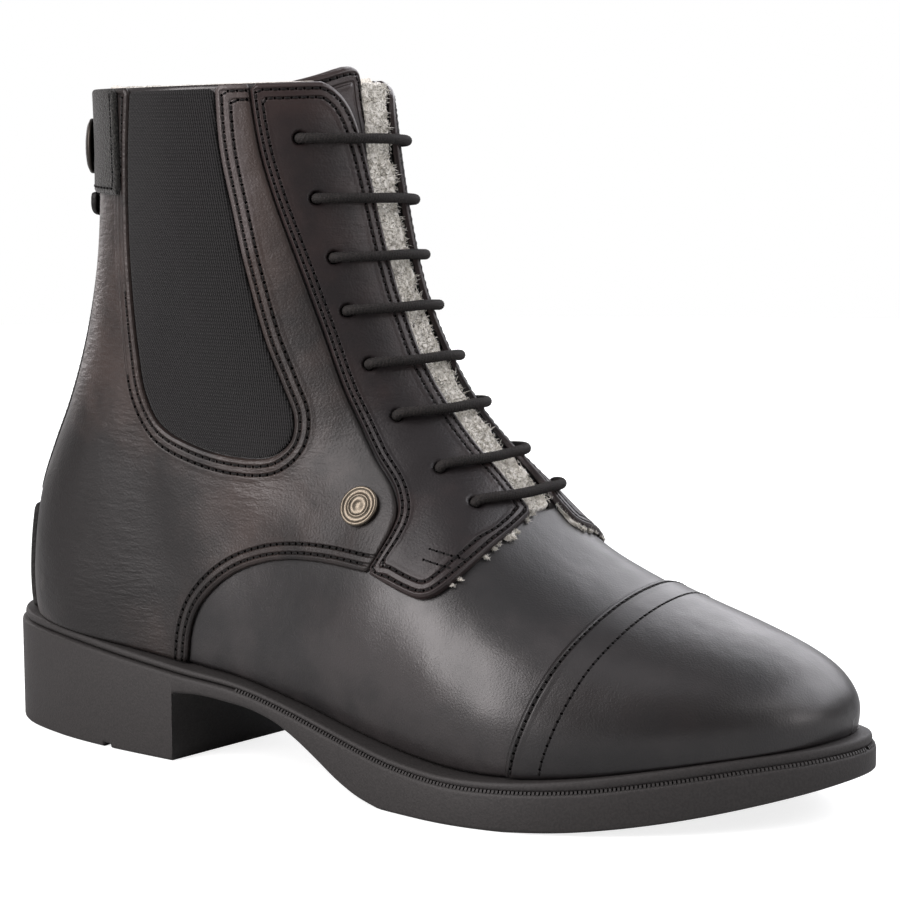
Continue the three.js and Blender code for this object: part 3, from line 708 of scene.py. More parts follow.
def stitch(runs, pitch, thick=0.42, share=0.7, hole=0.42):
    """Stitches of thread along runs of points, with a dark disc at each gap whose colour is painted shade
    of the needle hole.
    """
    for run in runs:
        line = resample(run, pitch)
        for k, (a, b) in enumerate(zip(line[:-1], line[1:])):
            along = b[:3] - a[:3]
            long = np.linalg.norm(along)
            if not 0.5 * pitch < long < 1.6 * pitch:
                continue
            uneven = 1 + 0.1 * math.sin(2.3 * k) + 0.06 * math.sin(5.1 * k)
            up = unit(a[3:] + b[3:])
            along /= long
            middle = (a[:3] + b[:3]) / 2
            threads.append((middle, along, np.cross(up, along), up, long * share / 2 * uneven, thick))
            holes.append((a[:3], along, np.cross(up, along), up, hole))


# Sections of a stitch: place along its half length, size and height, both as shares of its thickness
STITCH = (
    (-1.15, 0.35, -0.9), (-0.85, 0.9, -0.35), (0, 1.0, -0.12), (0.85, 0.9, -0.35), (1.15, 0.35, -0.9),
)
STITCH_SIDES = 6
HOLE_SIDES = 10


def make_threads(name, material, slot):
    rings, faces = [], []
    for middle, along, across, up, half, thick in threads:
        base = len(rings) * STITCH_SIDES
        for share, size, height in STITCH:
            centre = middle + along * half * share + up * thick * height
            rings.append(circle(centre, across * thick, up * thick * 0.75, STITCH_SIDES, size))
        rows = base + np.arange(len(STITCH) * STITCH_SIDES).reshape(-1, STITCH_SIDES)
        for low, high in zip(rows, rows[1:]):
            faces += band(high, low)
        faces += [rows[0][::-1], rows[-1]]
    return build(name, np.concatenate(rings), faces, material, slot)


def make_hole_shades(name, material, slot):
    """Flat discs just over the leather, near-black as painted shade of the needle holes, each closed by a
    cone below it.
    """
    points, faces = [], []
    for k, (middle, along, across, up, size) in enumerate(holes):
        top = k * (HOLE_SIDES + 2)
        rim = top + 2 + np.arange(HOLE_SIDES)
        points += [[middle + up * 0.05, middle - up * 0.5]]
        points.append(circle(middle + up * 0.03, along, across, HOLE_SIDES, size))
        for c, d in zip(rim, np.roll(rim, -1)):
            faces += [[top, c, d], [top + 1, d, c]]
    return build(name, np.concatenate(points), faces, material, slot)


# Materials

def shader(name, color, roughness, metallic=0.0, coat=0.0, coat_roughness=0.25, sheen=0.0, gloss=0.5):
    material = bpy.data.materials.new(name)
    material.use_nodes = True
    bsdf = material.node_tree.nodes["Principled BSDF"]
    bsdf.inputs["Base Color"].default_value = (*color, 1)
    bsdf.inputs["Roughness"].default_value = roughness
    bsdf.inputs["Metallic"].default_value = metallic
    bsdf.inputs["Specular IOR Level"].default_value = gloss
    bsdf.inputs["Coat Weight"].default_value = coat
    bsdf.inputs["Coat Roughness"].default_value = coat_roughness
    bsdf.inputs["Sheen Weight"].default_value = sheen
    return material, bsdf


def node(material, kind, links=(), **values):
    """A shader node with its settings, and its inputs linked or set by name."""
    made = material.node_tree.nodes.new(kind)
    for name, value in values.items():
        setattr(made, name, value)
    for name, value in links:
        if isinstance(value, bpy.types.NodeSocket):
            material.node_tree.links.new(value, made.inputs[name])
        else:
            made.inputs[name].default_value = value
    return made


def link(material, a, b):
    material.node_tree.links.new(a, b)


def math_node(material, operation, a, b=0.0):
    return node(material, "ShaderNodeMath", [(0, a), (1, b)], operation=operation).outputs[0]


def ramp(material, value, stops):
    """Colours or grey levels along a value, as stops of place and colour or level."""
    made = node(material, "ShaderNodeValToRGB", [("Fac", value)])
    made.color_ramp.interpolation = "EASE"
    elements = made.color_ramp.elements
    elements[0].position, elements[1].position = stops[0][0], stops[-1][0]
    for place, _ in stops[1:-1]:
        elements.new(place)
    for element, (_, level) in zip(elements, stops):
        element.color = level if isinstance(level, tuple) else (level, level, level, 1)
    return made.outputs["Color"]


def plus(material, a, b):
    return math_node(material, "ADD", a, b)


def times(material, a, b):
    return math_node(material, "MULTIPLY", a, b)


def noise_over(material, place, scale, detail):
    """Soft noise from 0 to 1."""
    links = [("Vector", place), ("Scale", scale), ("Detail", detail)]
    return node(material, "ShaderNodeTexNoise", links).outputs[0]


def ranged(material, value, low, high, to_low, to_high):
    sizes = {"From Min": low, "From Max": high, "To Min": to_low, "To Max": to_high}
    return node(material, "ShaderNodeMapRange", [("Value", value), *sizes.items()]).outputs[0]


def attribute(material, name):
    return node(material, "ShaderNodeAttribute", attribute_name=name).outputs["Fac"]


def where_on(material):
    return node(material, "ShaderNodeTexCoord").outputs["Object"]


def bumped(material, bsdf, height, distance, strength=1.0):
    """Relief of a height; the distance is in metres."""
    links = [("Height", height), ("Strength", strength), ("Distance", distance)]
    link(material, node(material, "ShaderNodeBump", links).outputs[0], bsdf.inputs["Normal"])


def toned(material, bsdf, value, stops):
    """Colours along a value, as stops of place and colour."""
    tone = ramp(material, value, [(place, (*color, 1)) for place, color in stops])
    link(material, tone, bsdf.inputs["Base Color"])


SEAM_REACH = 10.0  # the seam field is read up to this distance
ROW_HALF = 0.8  # half the width of a stitch row's groove
BEYOND_ROWS = 2.4  # where the leather lies flat again behind the last row
CLOUDS, MOTTLES, WAVES = 22, 130, 60  # scales of the soft noises over the leather
FOLDS = (190, 190, 800)  # scales of its fine creases along three axes, which are turned by FOLD_TURN
FOLD_TURN = (0.0, -0.5, 0.0)


def leather(
    name, dark, light, roughness, grain, grain_scale, coat=0.0, rows=(), gloss=0.5, pale=None, pucker=0.5,
    wrinkle=0.0,
):
    """Leather with grain, soft mottling, a tone attribute that holds burnished wear with painted light and
    painted shade, and the grooves of its stitch rows.
    """
    material, bsdf = shader(name, dark, roughness, coat=coat, coat_roughness=0.33, gloss=gloss)
    place = where_on(material)
    cloud = noise_over(material, place, CLOUDS, 4)
    patches = noise_over(material, place, MOTTLES, 3)
    mottle = times(material, math_node(material, "SUBTRACT", patches, 0.5), 0.4)
    # The colour follows noise and the tone attribute, which paints light and shade as well as burnished
    # wear.
    shade = plus(material, plus(material, times(material, attribute(material, "worn"), 0.3), cloud), mottle)
    # The last stop is reached mostly where painted light is added, as on the strip beside the gore.
    toned(material, bsdf, shade, [(0.3, dark), (0.8, light), (1.0, pale or light)])
    rough = ranged(material, shade, 0.25, 0.75, roughness + 0.1, roughness - 0.05)
    link(material, rough, bsdf.inputs["Roughness"])
    pores = node(
        material, "ShaderNodeTexVoronoi",
        [("Vector", place), ("Scale", grain_scale), ("Randomness", 1.0)],
        feature="SMOOTH_F1",
    )
    height = times(material, pores.outputs["Distance"], grain)
    fine = noise_over(material, place, grain_scale * 1.4, 2)
    height = plus(material, height, times(material, fine, grain * 0.4))
    height = plus(material, height, times(material, noise_over(material, place, WAVES, 2), 0.8))
    if wrinkle:
        links = [("Vector", place), ("Rotation", FOLD_TURN), ("Scale", FOLDS)]
        turned = node(material, "ShaderNodeMapping", links).outputs[0]
        share = ranged(material, cloud, 0.45, 0.65, 0, wrinkle)
        height = plus(material, height, times(material, noise_over(material, turned, 1.0, 2), share))
    if rows:
        share = math_node(material, "DIVIDE", attribute(material, "seam"), SEAM_REACH)
        stops = [(0.0, 0.3), (0.5, 0.62)]
        for row in rows:
            stops += [(row - ROW_HALF, 0.85), (row, 0.1), (row + ROW_HALF, 0.85)]
        stops += [(rows[-1] + BEYOND_ROWS, 0.66), (SEAM_REACH, 0.66)]
        profile = ramp(material, share, [(at / SEAM_REACH, level) for at, level in stops])
        height = plus(material, height, times(material, profile, pucker * 2))
    bumped(material, bsdf, height, 0.0005)
    return material


def noisy(name, color, roughness, scale, depth, metallic=0.0, sheen=0.0, tones=None, gloss=0.5):
    """A plain finish with a fine random relief."""
    material, bsdf = shader(name, color, roughness, metallic, sheen=sheen, gloss=gloss)
    fine = noise_over(material, where_on(material), scale, 5)
    bumped(material, bsdf, fine, depth)
    if tones:
        toned(material, bsdf, fine, [(0.35, tones[0]), (0.65, tones[1])])
    return material


RIB, WARP = 0.00105, 0.00068  # pitches of the webbing across and upright, in metres
LEAN = 0.16  # lean of its upright ribs
FORWARD = (-0.034, -0.014)  # between these x, in metres, the upright ribs take over


def woven(name, dark, light):
    """Elastic webbing: flat ribs across, and upright ribs towards its front edge."""
    material, bsdf = shader(name, dark, 0.85, sheen=0.08, gloss=0.25)
    split = node(material, "ShaderNodeSeparateXYZ", [("Vector", where_on(material))])
    x, z = split.outputs["X"], split.outputs["Z"]
    lean = plus(material, x, times(material, z, LEAN))
    across = math_node(material, "SINE", times(material, z, 2 * math.pi / RIB))
    upright = math_node(material, "SINE", times(material, lean, 2 * math.pi / WARP))
    forward = ranged(material, lean, *FORWARD, 0.0, 1.0)
    weave = node(
        material, "ShaderNodeMix",
        [("Factor", forward), ("A", times(material, across, upright)), ("B", upright)], data_type="FLOAT",
    )
    height = plus(material, weave.outputs[0], times(material, across, 0.5))
    bumped(material, bsdf, height, 0.00022, 0.7)
    toned(material, bsdf, plus(material, times(material, height, 0.3), 0.5), [(0.0, dark), (1.0, light)])
    return material


# Distances of the stitch rows from the edges
QUARTER_ROWS = (2.1, 4.7)
FACING_ROWS = (2.0, 4.6)
CAP_ROWS = (1.7,)
CAP_SECOND_ROW = 9.6
BACK_ROW = 2.0

grained = leather(
    "grained leather", (0.0075, 0.006, 0.0058), (0.044, 0.032, 0.0285), 0.43, 0.17, 1600,
    rows=QUARTER_ROWS, pucker=0.7, gloss=0.42, pale=(0.075, 0.062, 0.06), wrinkle=0.9,
)
facing_skin = leather(
    "facing leather", (0.0085, 0.0062, 0.0068), (0.032, 0.0215, 0.0205), 0.42, 0.13, 1600,
    rows=FACING_ROWS, pucker=0.7, gloss=0.4, wrinkle=0.6,
)
vamp_skin = leather(
    "vamp leather", (0.008, 0.0074, 0.0078), (0.03, 0.026, 0.026), 0.37, 0.09, 1900, coat=0.1,
)
cap_skin = leather(
    "cap leather", (0.0065, 0.0058, 0.0062), (0.018, 0.0155, 0.0155), 0.38, 0.08, 1900, coat=0.12,
    rows=CAP_ROWS,
)
dark_skin = leather(
    "dark leather", (0.005, 0.0045, 0.0045), (0.012, 0.01, 0.0092), 0.55, 0.45, 1200, rows=(BACK_ROW,),
    gloss=0.3,
)
thread = noisy("thread", (0.005, 0.0044, 0.0043), 0.7, 3000, 0.0001, gloss=0.2)
# Near-black: painted shade inside the needle holes.
hole_shade, _ = shader("needle hole", (0.0015, 0.0015, 0.0015), 0.95, gloss=0.0)
fleece = noisy(
    "fleece", (0.8, 0.77, 0.7), 1.0, 700, 0.0016, sheen=0.5, tones=((0.62, 0.59, 0.52), (0.97, 0.94, 0.87)),
)
elastic = woven("elastic", (0.0035, 0.0035, 0.0036), (0.019, 0.018, 0.0185))
rubber = noisy(
    "rubber", (0.024, 0.022, 0.0215), 0.62, 1500, 0.00012, gloss=0.4,
    tones=((0.0205, 0.0187, 0.0183), (0.0285, 0.0258, 0.0252)),
)
cord_cloth = noisy(
    "lace cord", (0.0095, 0.008, 0.0074), 0.72, 2500, 0.0004, gloss=0.35,
    tones=((0.005, 0.0045, 0.0043), (0.02, 0.016, 0.0145)),
)
suede = noisy(
    "rough leather", (0.012, 0.0116, 0.0105), 0.95, 1300, 0.0009, sheen=0.25, gloss=0.2,
    tones=((0.006, 0.006, 0.0055), (0.022, 0.0215, 0.019)),
)
metal = noisy("old nickel", (0.175, 0.15, 0.118), 0.42, 700, 0.0001, metallic=1.0)
dark_metal, _ = shader("dark metal", (0.06, 0.053, 0.047), 0.45, metallic=1.0)

# Outlines

def box_line(a0, a1, z0, z1):
    return np.array([(a0, z0), (a1, z0), (a1, z1), (a0, z1)], float)


def tongue_shape(a0, a1, z0, z1):
    """A box whose foot is a half circle."""
    radius = (a1 - a0) / 2
    middle = (a0 + a1) / 2
    turn = np.linspace(np.pi, 2 * np.pi, 17)
    arc = np.stack([middle + radius * np.cos(turn), z0 + radius + radius * np.sin(turn)], 1)
    return np.concatenate([arc, [(a1, z1), (a0, z1)]])


high_z = HEIGHT * 1.1  # above everything
throat_line = curve(THROAT, "y", 4)
facing_lines = [
    np.concatenate([
        curve(FACING_REAR, "x")[::-1], curve(flap, "x")[::-1],
        [(px(30), pz(45)), (px(30), high_z), (px(-11.6), high_z)],
    ])
    for flap in (FLAP_OUTER, FLAP_INNER)
]
quarter_line = np.concatenate([
    curve(VAMP_EDGE, "x"), curve(FACING_REAR, "x"),
    [(px(-11.6), high_z), (-LENGTH, high_z), (-LENGTH, pz(10))],
]) - (GAP, 0)
cap_line = np.concatenate([curve(CAP_EDGE, "x"), [(px(60), pz(36)), (px(60), pz(2))]])
gore_line = curve(GORE, "x")


def over_front(z, y, d):
    """Point at a height and a y on the front of the shaft, lifted off the face, and its normal."""
    side = -1 if y < py(1) else 1
    behind, ahead = look(front, "z", "x", z) - px(18), look(front, "z", "x", z)
    for _ in range(40):
        x = (behind + ahead) / 2
        if (skin(x, z, side)[1] - y) * side > 0:
            behind = x
        else:
            ahead = x
    x = behind - 0.5
    along = skin(x, z, side) - skin(x - 1, z, side)
    up = skin(x, z + 0.5, side) - skin(x, z - 0.5, side)
    normal = unit(-side * np.cross(along, up))
    return skin(behind, z, side) + normal * d, normal


def near_face(x, z, side):
    """Point and normal of the face over a point of the side view."""
    across = skin(x + 1, z, side) - skin(x - 1, z, side)
    up = skin(x, z + 1, side) - skin(x, z - 1, side)
    normal = unit(-side * np.cross(across, up))
    point = skin(x, z, side)
    return point + relief(point) * normal, normal


HOLE = 1.8  # radius of a lace hole
FURTHER = 1.8  # how much further out the inner hole of a bar is
lace_holes = [
    (*over_front(pz(outer), -py(far), 0), *over_front(pz(inner), py(far + FURTHER), 0))
    for outer, inner, far in BARS
]


def off_holes(cells, radius):
    """Distance from the edges of the lace holes."""
    field = np.full(cells.t.shape, 1e3)
    for near_hole, _, far_hole, _ in lace_holes:
        for hole in (near_hole, far_hole):
            field = np.minimum(field, np.linalg.norm(cells.point - hole, axis=2) - radius)
    return field


def ends_of(cells):
    """Distance from the lower and the upper end of the face."""
    return np.minimum(cells.climb, cells.below_top) - 0.05


def throat_of(cells):
    """Distance outside the throat, which only the front of the boot has."""
    x = cells.point[..., 0]
    return np.where((x > px(-20)) & (x < px(36)), -cells.inside(1, throat_line), DEEP)


def fields(cells):
    """Distances inside each outline, for one grid."""
    f = {"ends": ends_of(cells), "throat": throat_of(cells)}
    f["gore"] = cells.inside(0, gore_line)
    f["quarter"] = cells.inside(0, quarter_line)
    f["cap"] = cells.inside(0, cap_line)
    f["holes"] = off_holes(cells, HOLE)
    back_half = cells.point[..., 0] < px(-28)
    slot_line = box_line(-py(ZIP["half"]), py(ZIP["half"]), pz(ZIP["foot"]), pz(ZIP["top"]))
    f["zip"] = cells.inside(1, slot_line, where=back_half)
    patch_line = box_line(-py(PATCH["half"]), py(PATCH["half"]), -5, pz(PATCH["top"]))
    f["heel_patch"] = cells.inside(1, patch_line, where=back_half)
    f["back_tab"] = cells.inside(0, box_line(-LENGTH, px(TAB["front"]), pz(TAB["foot"]), high_z))
    pull_line = tongue_shape(py(PULL["left"]), py(PULL["right"]), pz(PULL["foot"]), pz(TAB["foot"]) - GAP)
    f["zip_pull"] = cells.inside(1, pull_line, where=back_half)
    return f


def rounded_min(a, b, radius):
    """The smaller of two distances, with the corner between them rounded."""
    inside = np.hypot(np.maximum(radius - a, 0), np.maximum(radius - b, 0))
    return np.where((a < radius) & (b < radius), radius - inside, np.minimum(a, b))


F = fields(main)
x_main, y_main, z_main = np.moveaxis(main.point, -1, 0)

# Upper

shell_x, shell_y, shell_z = np.moveaxis(shell.point, -1, 0)
shell_throat = throat_of(shell)
shell_field = least(shell_throat, ends_of(shell), off_holes(shell, HOLE - 0.2))
panel("upper", shell, shell_field, -WALL, 0.0, vamp_skin, "smooth_leather", ["upper"])

# Toe cap
cap_field = least(F["cap"], F["ends"])
panel("toe_cap", main, cap_field, GAP, SKIN, cap_skin, "smooth_leather", ["toe_cap"], seam=F["cap"])
for level in (*CAP_ROWS, CAP_SECOND_ROW):
    stitch(seam_runs(main, F["cap"], level, cap_field, SKIN, 0.6), 2.4, 0.44, 0.7, 0.42)

# Facings
FACING_STITCH = (2.4, 0.4, 0.68, 0.38)  # pitch, thickness, share of the pitch, needle hole
REAR_SCALE = 1.5  # the facing's rear rows lie closer to its edge
FLAP_CORNER = 5.0  # radius between each flap and the throat
FLAP_FLEECE_TOP = (39.5, 41)  # height up to which fleece shows at each flap's edge
rear_field = main.inside(0, np.concatenate([
    curve(FACING_REAR, "x")[::-1],
    [(px(7.3), pz(31)), (px(7.3), pz(-20)), (px(60), pz(-20)), (px(60), high_z), (px(-11.6), high_z)],
]))
inner_side_line = box_line(-BALL, py(FLAP_INNER_SIDE["y"]), -5, pz(FLAP_INNER_SIDE["z"]))
inner_side_field = np.where(x_main > px(4), -main.inside(1, inner_side_line), DEEP)
for k, (side, name) in enumerate(((-1, "lateral"), (1, "medial"))):
    flap = (FLAP_OUTER, FLAP_INNER)[k]
    flap_line = np.concatenate([
        [(-LENGTH, pz(31.1))], curve(flap, "x")[::-1],
        [(px(30), pz(45)), (px(30), high_z), (-LENGTH, high_z)],
    ])
    opening = least(F["throat"], inner_side_field) if k else F["throat"]
    seam_field = least(
        rounded_min(opening, main.inside(0, flap_line), FLAP_CORNER),
        rear_field * REAR_SCALE, main.below_top,
    )
    half = np.where(side * y_main > -6, DEEP, OUT)
    bare = rounded_min(main.inside(0, facing_lines[k]), opening, FLAP_CORNER)
    field = least(bare, F["ends"], F["holes"], half)
    panel(
        f"facing_{name}", main, field, GAP, FACING, facing_skin, "leather", [f"facing_{name}"],
        seam=seam_field, rub=0.35,
    )
    ragged = 0.35 + 2.2 * fuzz(main.point, 0.16, 2) + 0.5 * fuzz(main.point, 0.7, 1)
    low_front = (x_main > px((13.2, 10.6)[k])) & (z_main < pz(FLAP_FLEECE_TOP[k])) & (side * y_main > -20)
    fringe = np.where(low_front, least(bare + ragged, 0.3 - bare), OUT)
    panel(f"flap_fleece_{name}", main, fringe, 0.02, 0.9, fleece, "fleece", edge=(0.16, 0.08, 0.0))
    at = scatter(main, fringe, 1600)
    strands(
        f"flap_tufts_{name}", main.place(at, 0.6 + 0 * at[:, 0]), main.sample(main.normal, at),
        fleece, "fleece", 0.75, 0.11, 0.9,
    )
    for level in FACING_ROWS:
        stitch(seam_runs(main, seam_field, level, field, FACING, 0.5), *FACING_STITCH)

# Two short rows that hold the foot of the outer flap
for (x0, z0), (x1, z1) in (((31.5, 70.2), (41, 67.3)), ((31, 67.6), (38.8, 65.4))):
    row = [near_face(mix(x0, x1, t), mix(z0, z1, t), -1) for t in np.linspace(0, 1, 12)]
    stitch([np.array([np.concatenate([p + FACING * n, n]) for p, n in row])], *FACING_STITCH)

# Quarters
vamp_part = main.inside(0, np.concatenate([
    curve(VAMP_EDGE, "x"), [(px(12), pz(32.6)), (px(12), high_z), (-LENGTH, high_z), (-LENGTH, pz(10))],
]))
quarter_seam = least(-F["gore"], vamp_part, main.below_top)
for side, name in ((-1, "lateral"), (1, "medial")):
    centre = side * y_main - GAP / 2
    field = least(F["quarter"], -F["gore"], F["ends"], centre, -F["zip"] - GAP)
    panel(
        f"quarter_{name}", main, field, GAP, GAP + SKIN, grained, "leather", [f"quarter_{name}"],
        seam=quarter_seam,
    )
    for k, level in enumerate(QUARTER_ROWS):
        runs = seam_runs(
            main, quarter_seam, level, field, GAP + SKIN, 0.5,
            keep=lambda p: (p[:, 0] > px(-27)) | (p[:, 2] < pz(50)),
        )
        stitch(runs, 2.6, 0.42, 0.68, 0.4 + 0.06 * k)
    half = np.where(side * y_main > 0, DEEP, OUT)
    gore_field = least(F["gore"] - 0.36, F["ends"], main.below_top - 1.2, half)
    panel(f"gore_{name}", main, gore_field, GAP, GAP + ELASTIC, elastic, "elastic", [f"gore_{name}"])

# Back pieces
second = SKIN + 2 * GAP  # height of the pieces that lie on the quarters
for name, low, high, material, slot in (
    ("zip", GAP, ZIP_GUARD, dark_skin, "zip_tape"),
    ("heel_patch", second, second + PATCH_THICK, dark_skin, "leather"),
    ("back_tab", second, second + STRAP, suede, "leather"),
):
    field = least(F[name], F["ends"])
    panel(name, main, field, low, high, material, slot, [name], seam=field)
    stitch(seam_runs(main, F[name], BACK_ROW, field, high, 0.6), 2.6)
panel(
    "zip_pull", main, F["zip_pull"], ZIP_GUARD + GAP, ZIP_GUARD + GAP + PULL_THICK, dark_skin, "leather",
    ["zip_pull"],
)

# Tongue and fleece
ahead = tall.point[..., 0] > px(-25)
tongue_top = -WALL - GAP
tongue_foot = tongue_top - TONGUE
tongue_field = tall.inside(1, curve(TONGUE_EDGE, "y", 4), tongue_top - TONGUE / 2, ahead)
panel(
    "tongue", tall, tongue_field, tongue_foot, tongue_top, facing_skin, "fleece", ["tongue"],
    seam=tongue_field,
)
seen_rim = seam_runs(
    tall, tongue_field, 2.2, tongue_field, tongue_top, 0.6, keep=lambda p: p[:, 2] > pz(88),
)
stitch(seen_rim, 2.5)

back_high = tongue_foot + 0.05
back_low = back_high - 0.9 - 0.3 * fuzz(tall.point, 0.3, 2)
panel("tongue_lining", tall, tongue_field - 0.8, back_low, back_high, fleece, "fleece")

throat_inside = tall.inside(1, throat_line, 0, ahead)
strip_line = np.stack([py(STRIP["y"]), pz(STRIP["z"])], 1)
strip_field = least(tall.inside(1, strip_line, -WALL, ahead), throat_inside - 0.05, tall.below_top - 0.8)
by_far_edge = ease(1 - throat_inside / 3.2) * (tall.point[..., 1] > py(5))
strip_high = tongue_top + 1.0 + 1.3 * fuzz(tall.point, 0.28) + 1.6 * by_far_edge
panel("tongue_fleece", tall, strip_field, tongue_top - 0.2, strip_high, fleece, "fleece")
at = scatter(tall, strip_field - 0.2, 5200)
strands(
    "tongue_tufts", tall.place(at, tall.sample(strip_high, at) - 0.2), tall.sample(tall.normal, at),
    fleece, "fleece", 1.2, 0.2, 0.9,
)

rim_share = np.clip(ease(0.5 + shell_y / 20) + ease((-78 - shell_x) / 12), 0, 1)
lining_rim = 0.1 + 0.8 * rim_share * (1 + 0.6 * fuzz(shell.point, 0.3, 2))
lining_field = least(shell_throat - 0.3, shell.climb - 4, shell.below_top + lining_rim)
under_tongue = (shell_x > px(-24)) & (np.abs(shell_y) < py(32)) & (shell_z > pz(30))
lining_thick = np.where(under_tongue, 0.2, 1.5 + 0.5 * fuzz(shell.point, 0.35, 2))
panel("lining", shell, lining_field, -WALL - lining_thick, -WALL + 0.05, fleece, "fleece")

# Laces


def smooth_line(points, times=3):
    points = np.asarray(points, float)
    for _ in range(times):
        cut = np.repeat(points, 2, axis=0)
        cut[1:-1:2] = mix(points[:-1], points[1:], 0.25)
        cut[2::2] = mix(points[:-1], points[1:], 0.75)
        points = cut
    return points


CORD_SIDES = 14
CORD_STEP = 0.27  # distance between its rings
CORD_RIBS = 3  # ribs that wind round the cord side by side
RIB_SHARE, RIB_PITCH = 0.12, 0.95  # height of a rib as a share of the radius, and its pitch


def cord(path, radius):
    """A round cord along a path, with fine winding ribs."""
    line = resample(np.asarray(path), CORD_STEP)
    ways = unit(np.gradient(line, axis=0))
    side = np.cross(ways[0], (0, 0, 1))
    angles = 2 * np.pi * np.arange(CORD_SIDES) / CORD_SIDES
    points, faces = [], []
    for k, (p, way) in enumerate(zip(line, ways)):
        side = unit(side - way * (side @ way))
        turn = 2 * np.pi * k * CORD_STEP / RIB_PITCH + CORD_RIBS * angles
        width = radius * (1 + RIB_SHARE * np.sin(turn))
        points.append(circle(p, side, np.cross(way, side), CORD_SIDES, width))
    rows = np.arange(len(line) * CORD_SIDES).reshape(-1, CORD_SIDES)
    for low, high in zip(rows, rows[1:]):
        faces += band(high, low)
    return np.concatenate(points), [*faces, rows[0][::-1], rows[-1]]


lift = FACING + GAP + CORD / 2 + 0.2
DEEP_IN = 3.2  # how far a bar's hidden end goes into its hole
CORD_DRAWN = 0.88  # radius in the scene, as a share of the cord's own, under its ribs
for k, ((outer, inner, far), (near_hole, near_n, far_hole, far_n)) in enumerate(zip(BARS, lace_holes)):
    middle = [
        over_front(pz(mix(outer, inner, t)), py(mix(-far, far + FURTHER, t)), lift)[0]
        for t in np.linspace(0, 1, 9)
    ]
    near_end, far_end = (
        [hole - n * DEEP_IN, hole - n * 0.5, hole + n * 2.2, hole + n * (lift - 0.5) + unit(way) * 1.6]
        for hole, n, way in (
            (near_hole, near_n, middle[1] - middle[0]), (far_hole, far_n, middle[-2] - middle[-1]),
        )
    )
    points, faces = cord(smooth_line(near_end + middle[1:-1] + far_end[::-1]), CORD / 2 * CORD_DRAWN)
    build(f"lace_{k + 1}", points, faces, cord_cloth, "lace_cord", [f"lace_bar_{k + 1}"])


# Sole

def outline_sides():
    """Outer and inner edge of the sole, each as points from heel to toe."""
    points = np.stack([px(SOLE["x"]), py(SOLE["y"])], 1)
    count = len(points)
    fine = []
    for k in range(count):
        p = [points[(k + d) % count] for d in (-1, 0, 1, 2)]
        d0, d1, d2 = (max(np.hypot(*(p[m + 1] - p[m])) ** 0.5, 1e-6) for m in range(3))
        t1 = ((p[1] - p[0]) / d0 - (p[2] - p[0]) / (d0 + d1) + (p[2] - p[1]) / d1) * d1
        t2 = ((p[2] - p[1]) / d1 - (p[3] - p[1]) / (d1 + d2) + (p[3] - p[2]) / d2) * d1
        for t in np.linspace(0, 1, 16, endpoint=False):
            fine.append(
                (2 * t**3 - 3 * t**2 + 1) * p[1] + (t**3 - 2 * t**2 + t) * t1
                + (3 * t**2 - 2 * t**3) * p[2] + (t**3 - t**2) * t2
            )
    fine = np.array(fine)
    first, last = fine[:, 0].argmin(), fine[:, 0].argmax()
    fine = np.roll(fine, -first, 0)
    last = (last - first) % len(fine)
    return fine[: last + 1], np.concatenate([fine[last:], fine[:1]])[::-1]


outer_side, inner_side = outline_sides()


def edge_y(line, x):
    return np.interp(x, line[:, 0], line[:, 1])


def at_stations(left_x, right_x):
    """Points of the sole's outer and inner edge over stations of x."""
    return (
        np.stack([left_x, edge_y(outer_side, left_x)], 1),
        np.stack([right_x, edge_y(inner_side, right_x)], 1),
    )


def sole_stations(count):
    """Values of x from heel to toe, closer together at both ends."""
    return mix(outer_side[0, 0], outer_side[-1, 0], (1 - np.cos(np.linspace(0, np.pi, count))) / 2)


def ring_of(left, right):
    """Outline from two sides that share their ends, and its inward normals in plan."""
    ring = np.concatenate([left, right[::-1][1:-1]])
    around = np.roll(ring, -1, 0) - np.roll(ring, 1, 0)
    inward = np.stack([-around[:, 1], around[:, 0]], 1)
    size = np.linalg.norm(inward, axis=1, keepdims=True)
    return ring, inward / np.maximum(size, 1e-9)


def stack(ring, inward, levels):
    """Points and wall faces of stacked rings; a level is an inset and the heights of its points."""
    points = [
        np.concatenate([ring + inset * inward, np.reshape(z, (-1, 1))], 1) for inset, z in levels
    ]
    rows = np.arange(len(levels) * len(ring)).reshape(-1, len(ring))
    return points, [face for low, high in zip(rows, rows[1:]) for face in band(high, low)]


def without_repeats(face):
    return [v for m, v in enumerate(face) if v not in face[:m]]


def closed_body(left, right, levels_of):
    """A body of stacked rings over a sole outline, closed by flat strips at its foot and top."""
    ring, inward = ring_of(left, right)
    levels = levels_of(ring[:, 0])
    points, faces = stack(ring, inward, levels)
    count = len(ring)
    for start, turn in ((0, 1), ((len(levels) - 1) * count, -1)):
        for r in range(len(left) - 1):
            across = (count - r) % count, (count - r - 1) % count
            face = without_repeats([start + v for v in (r, *across, r + 1)])
            if len(face) > 2:
                faces.append(face[::turn])
    return np.concatenate(points), faces


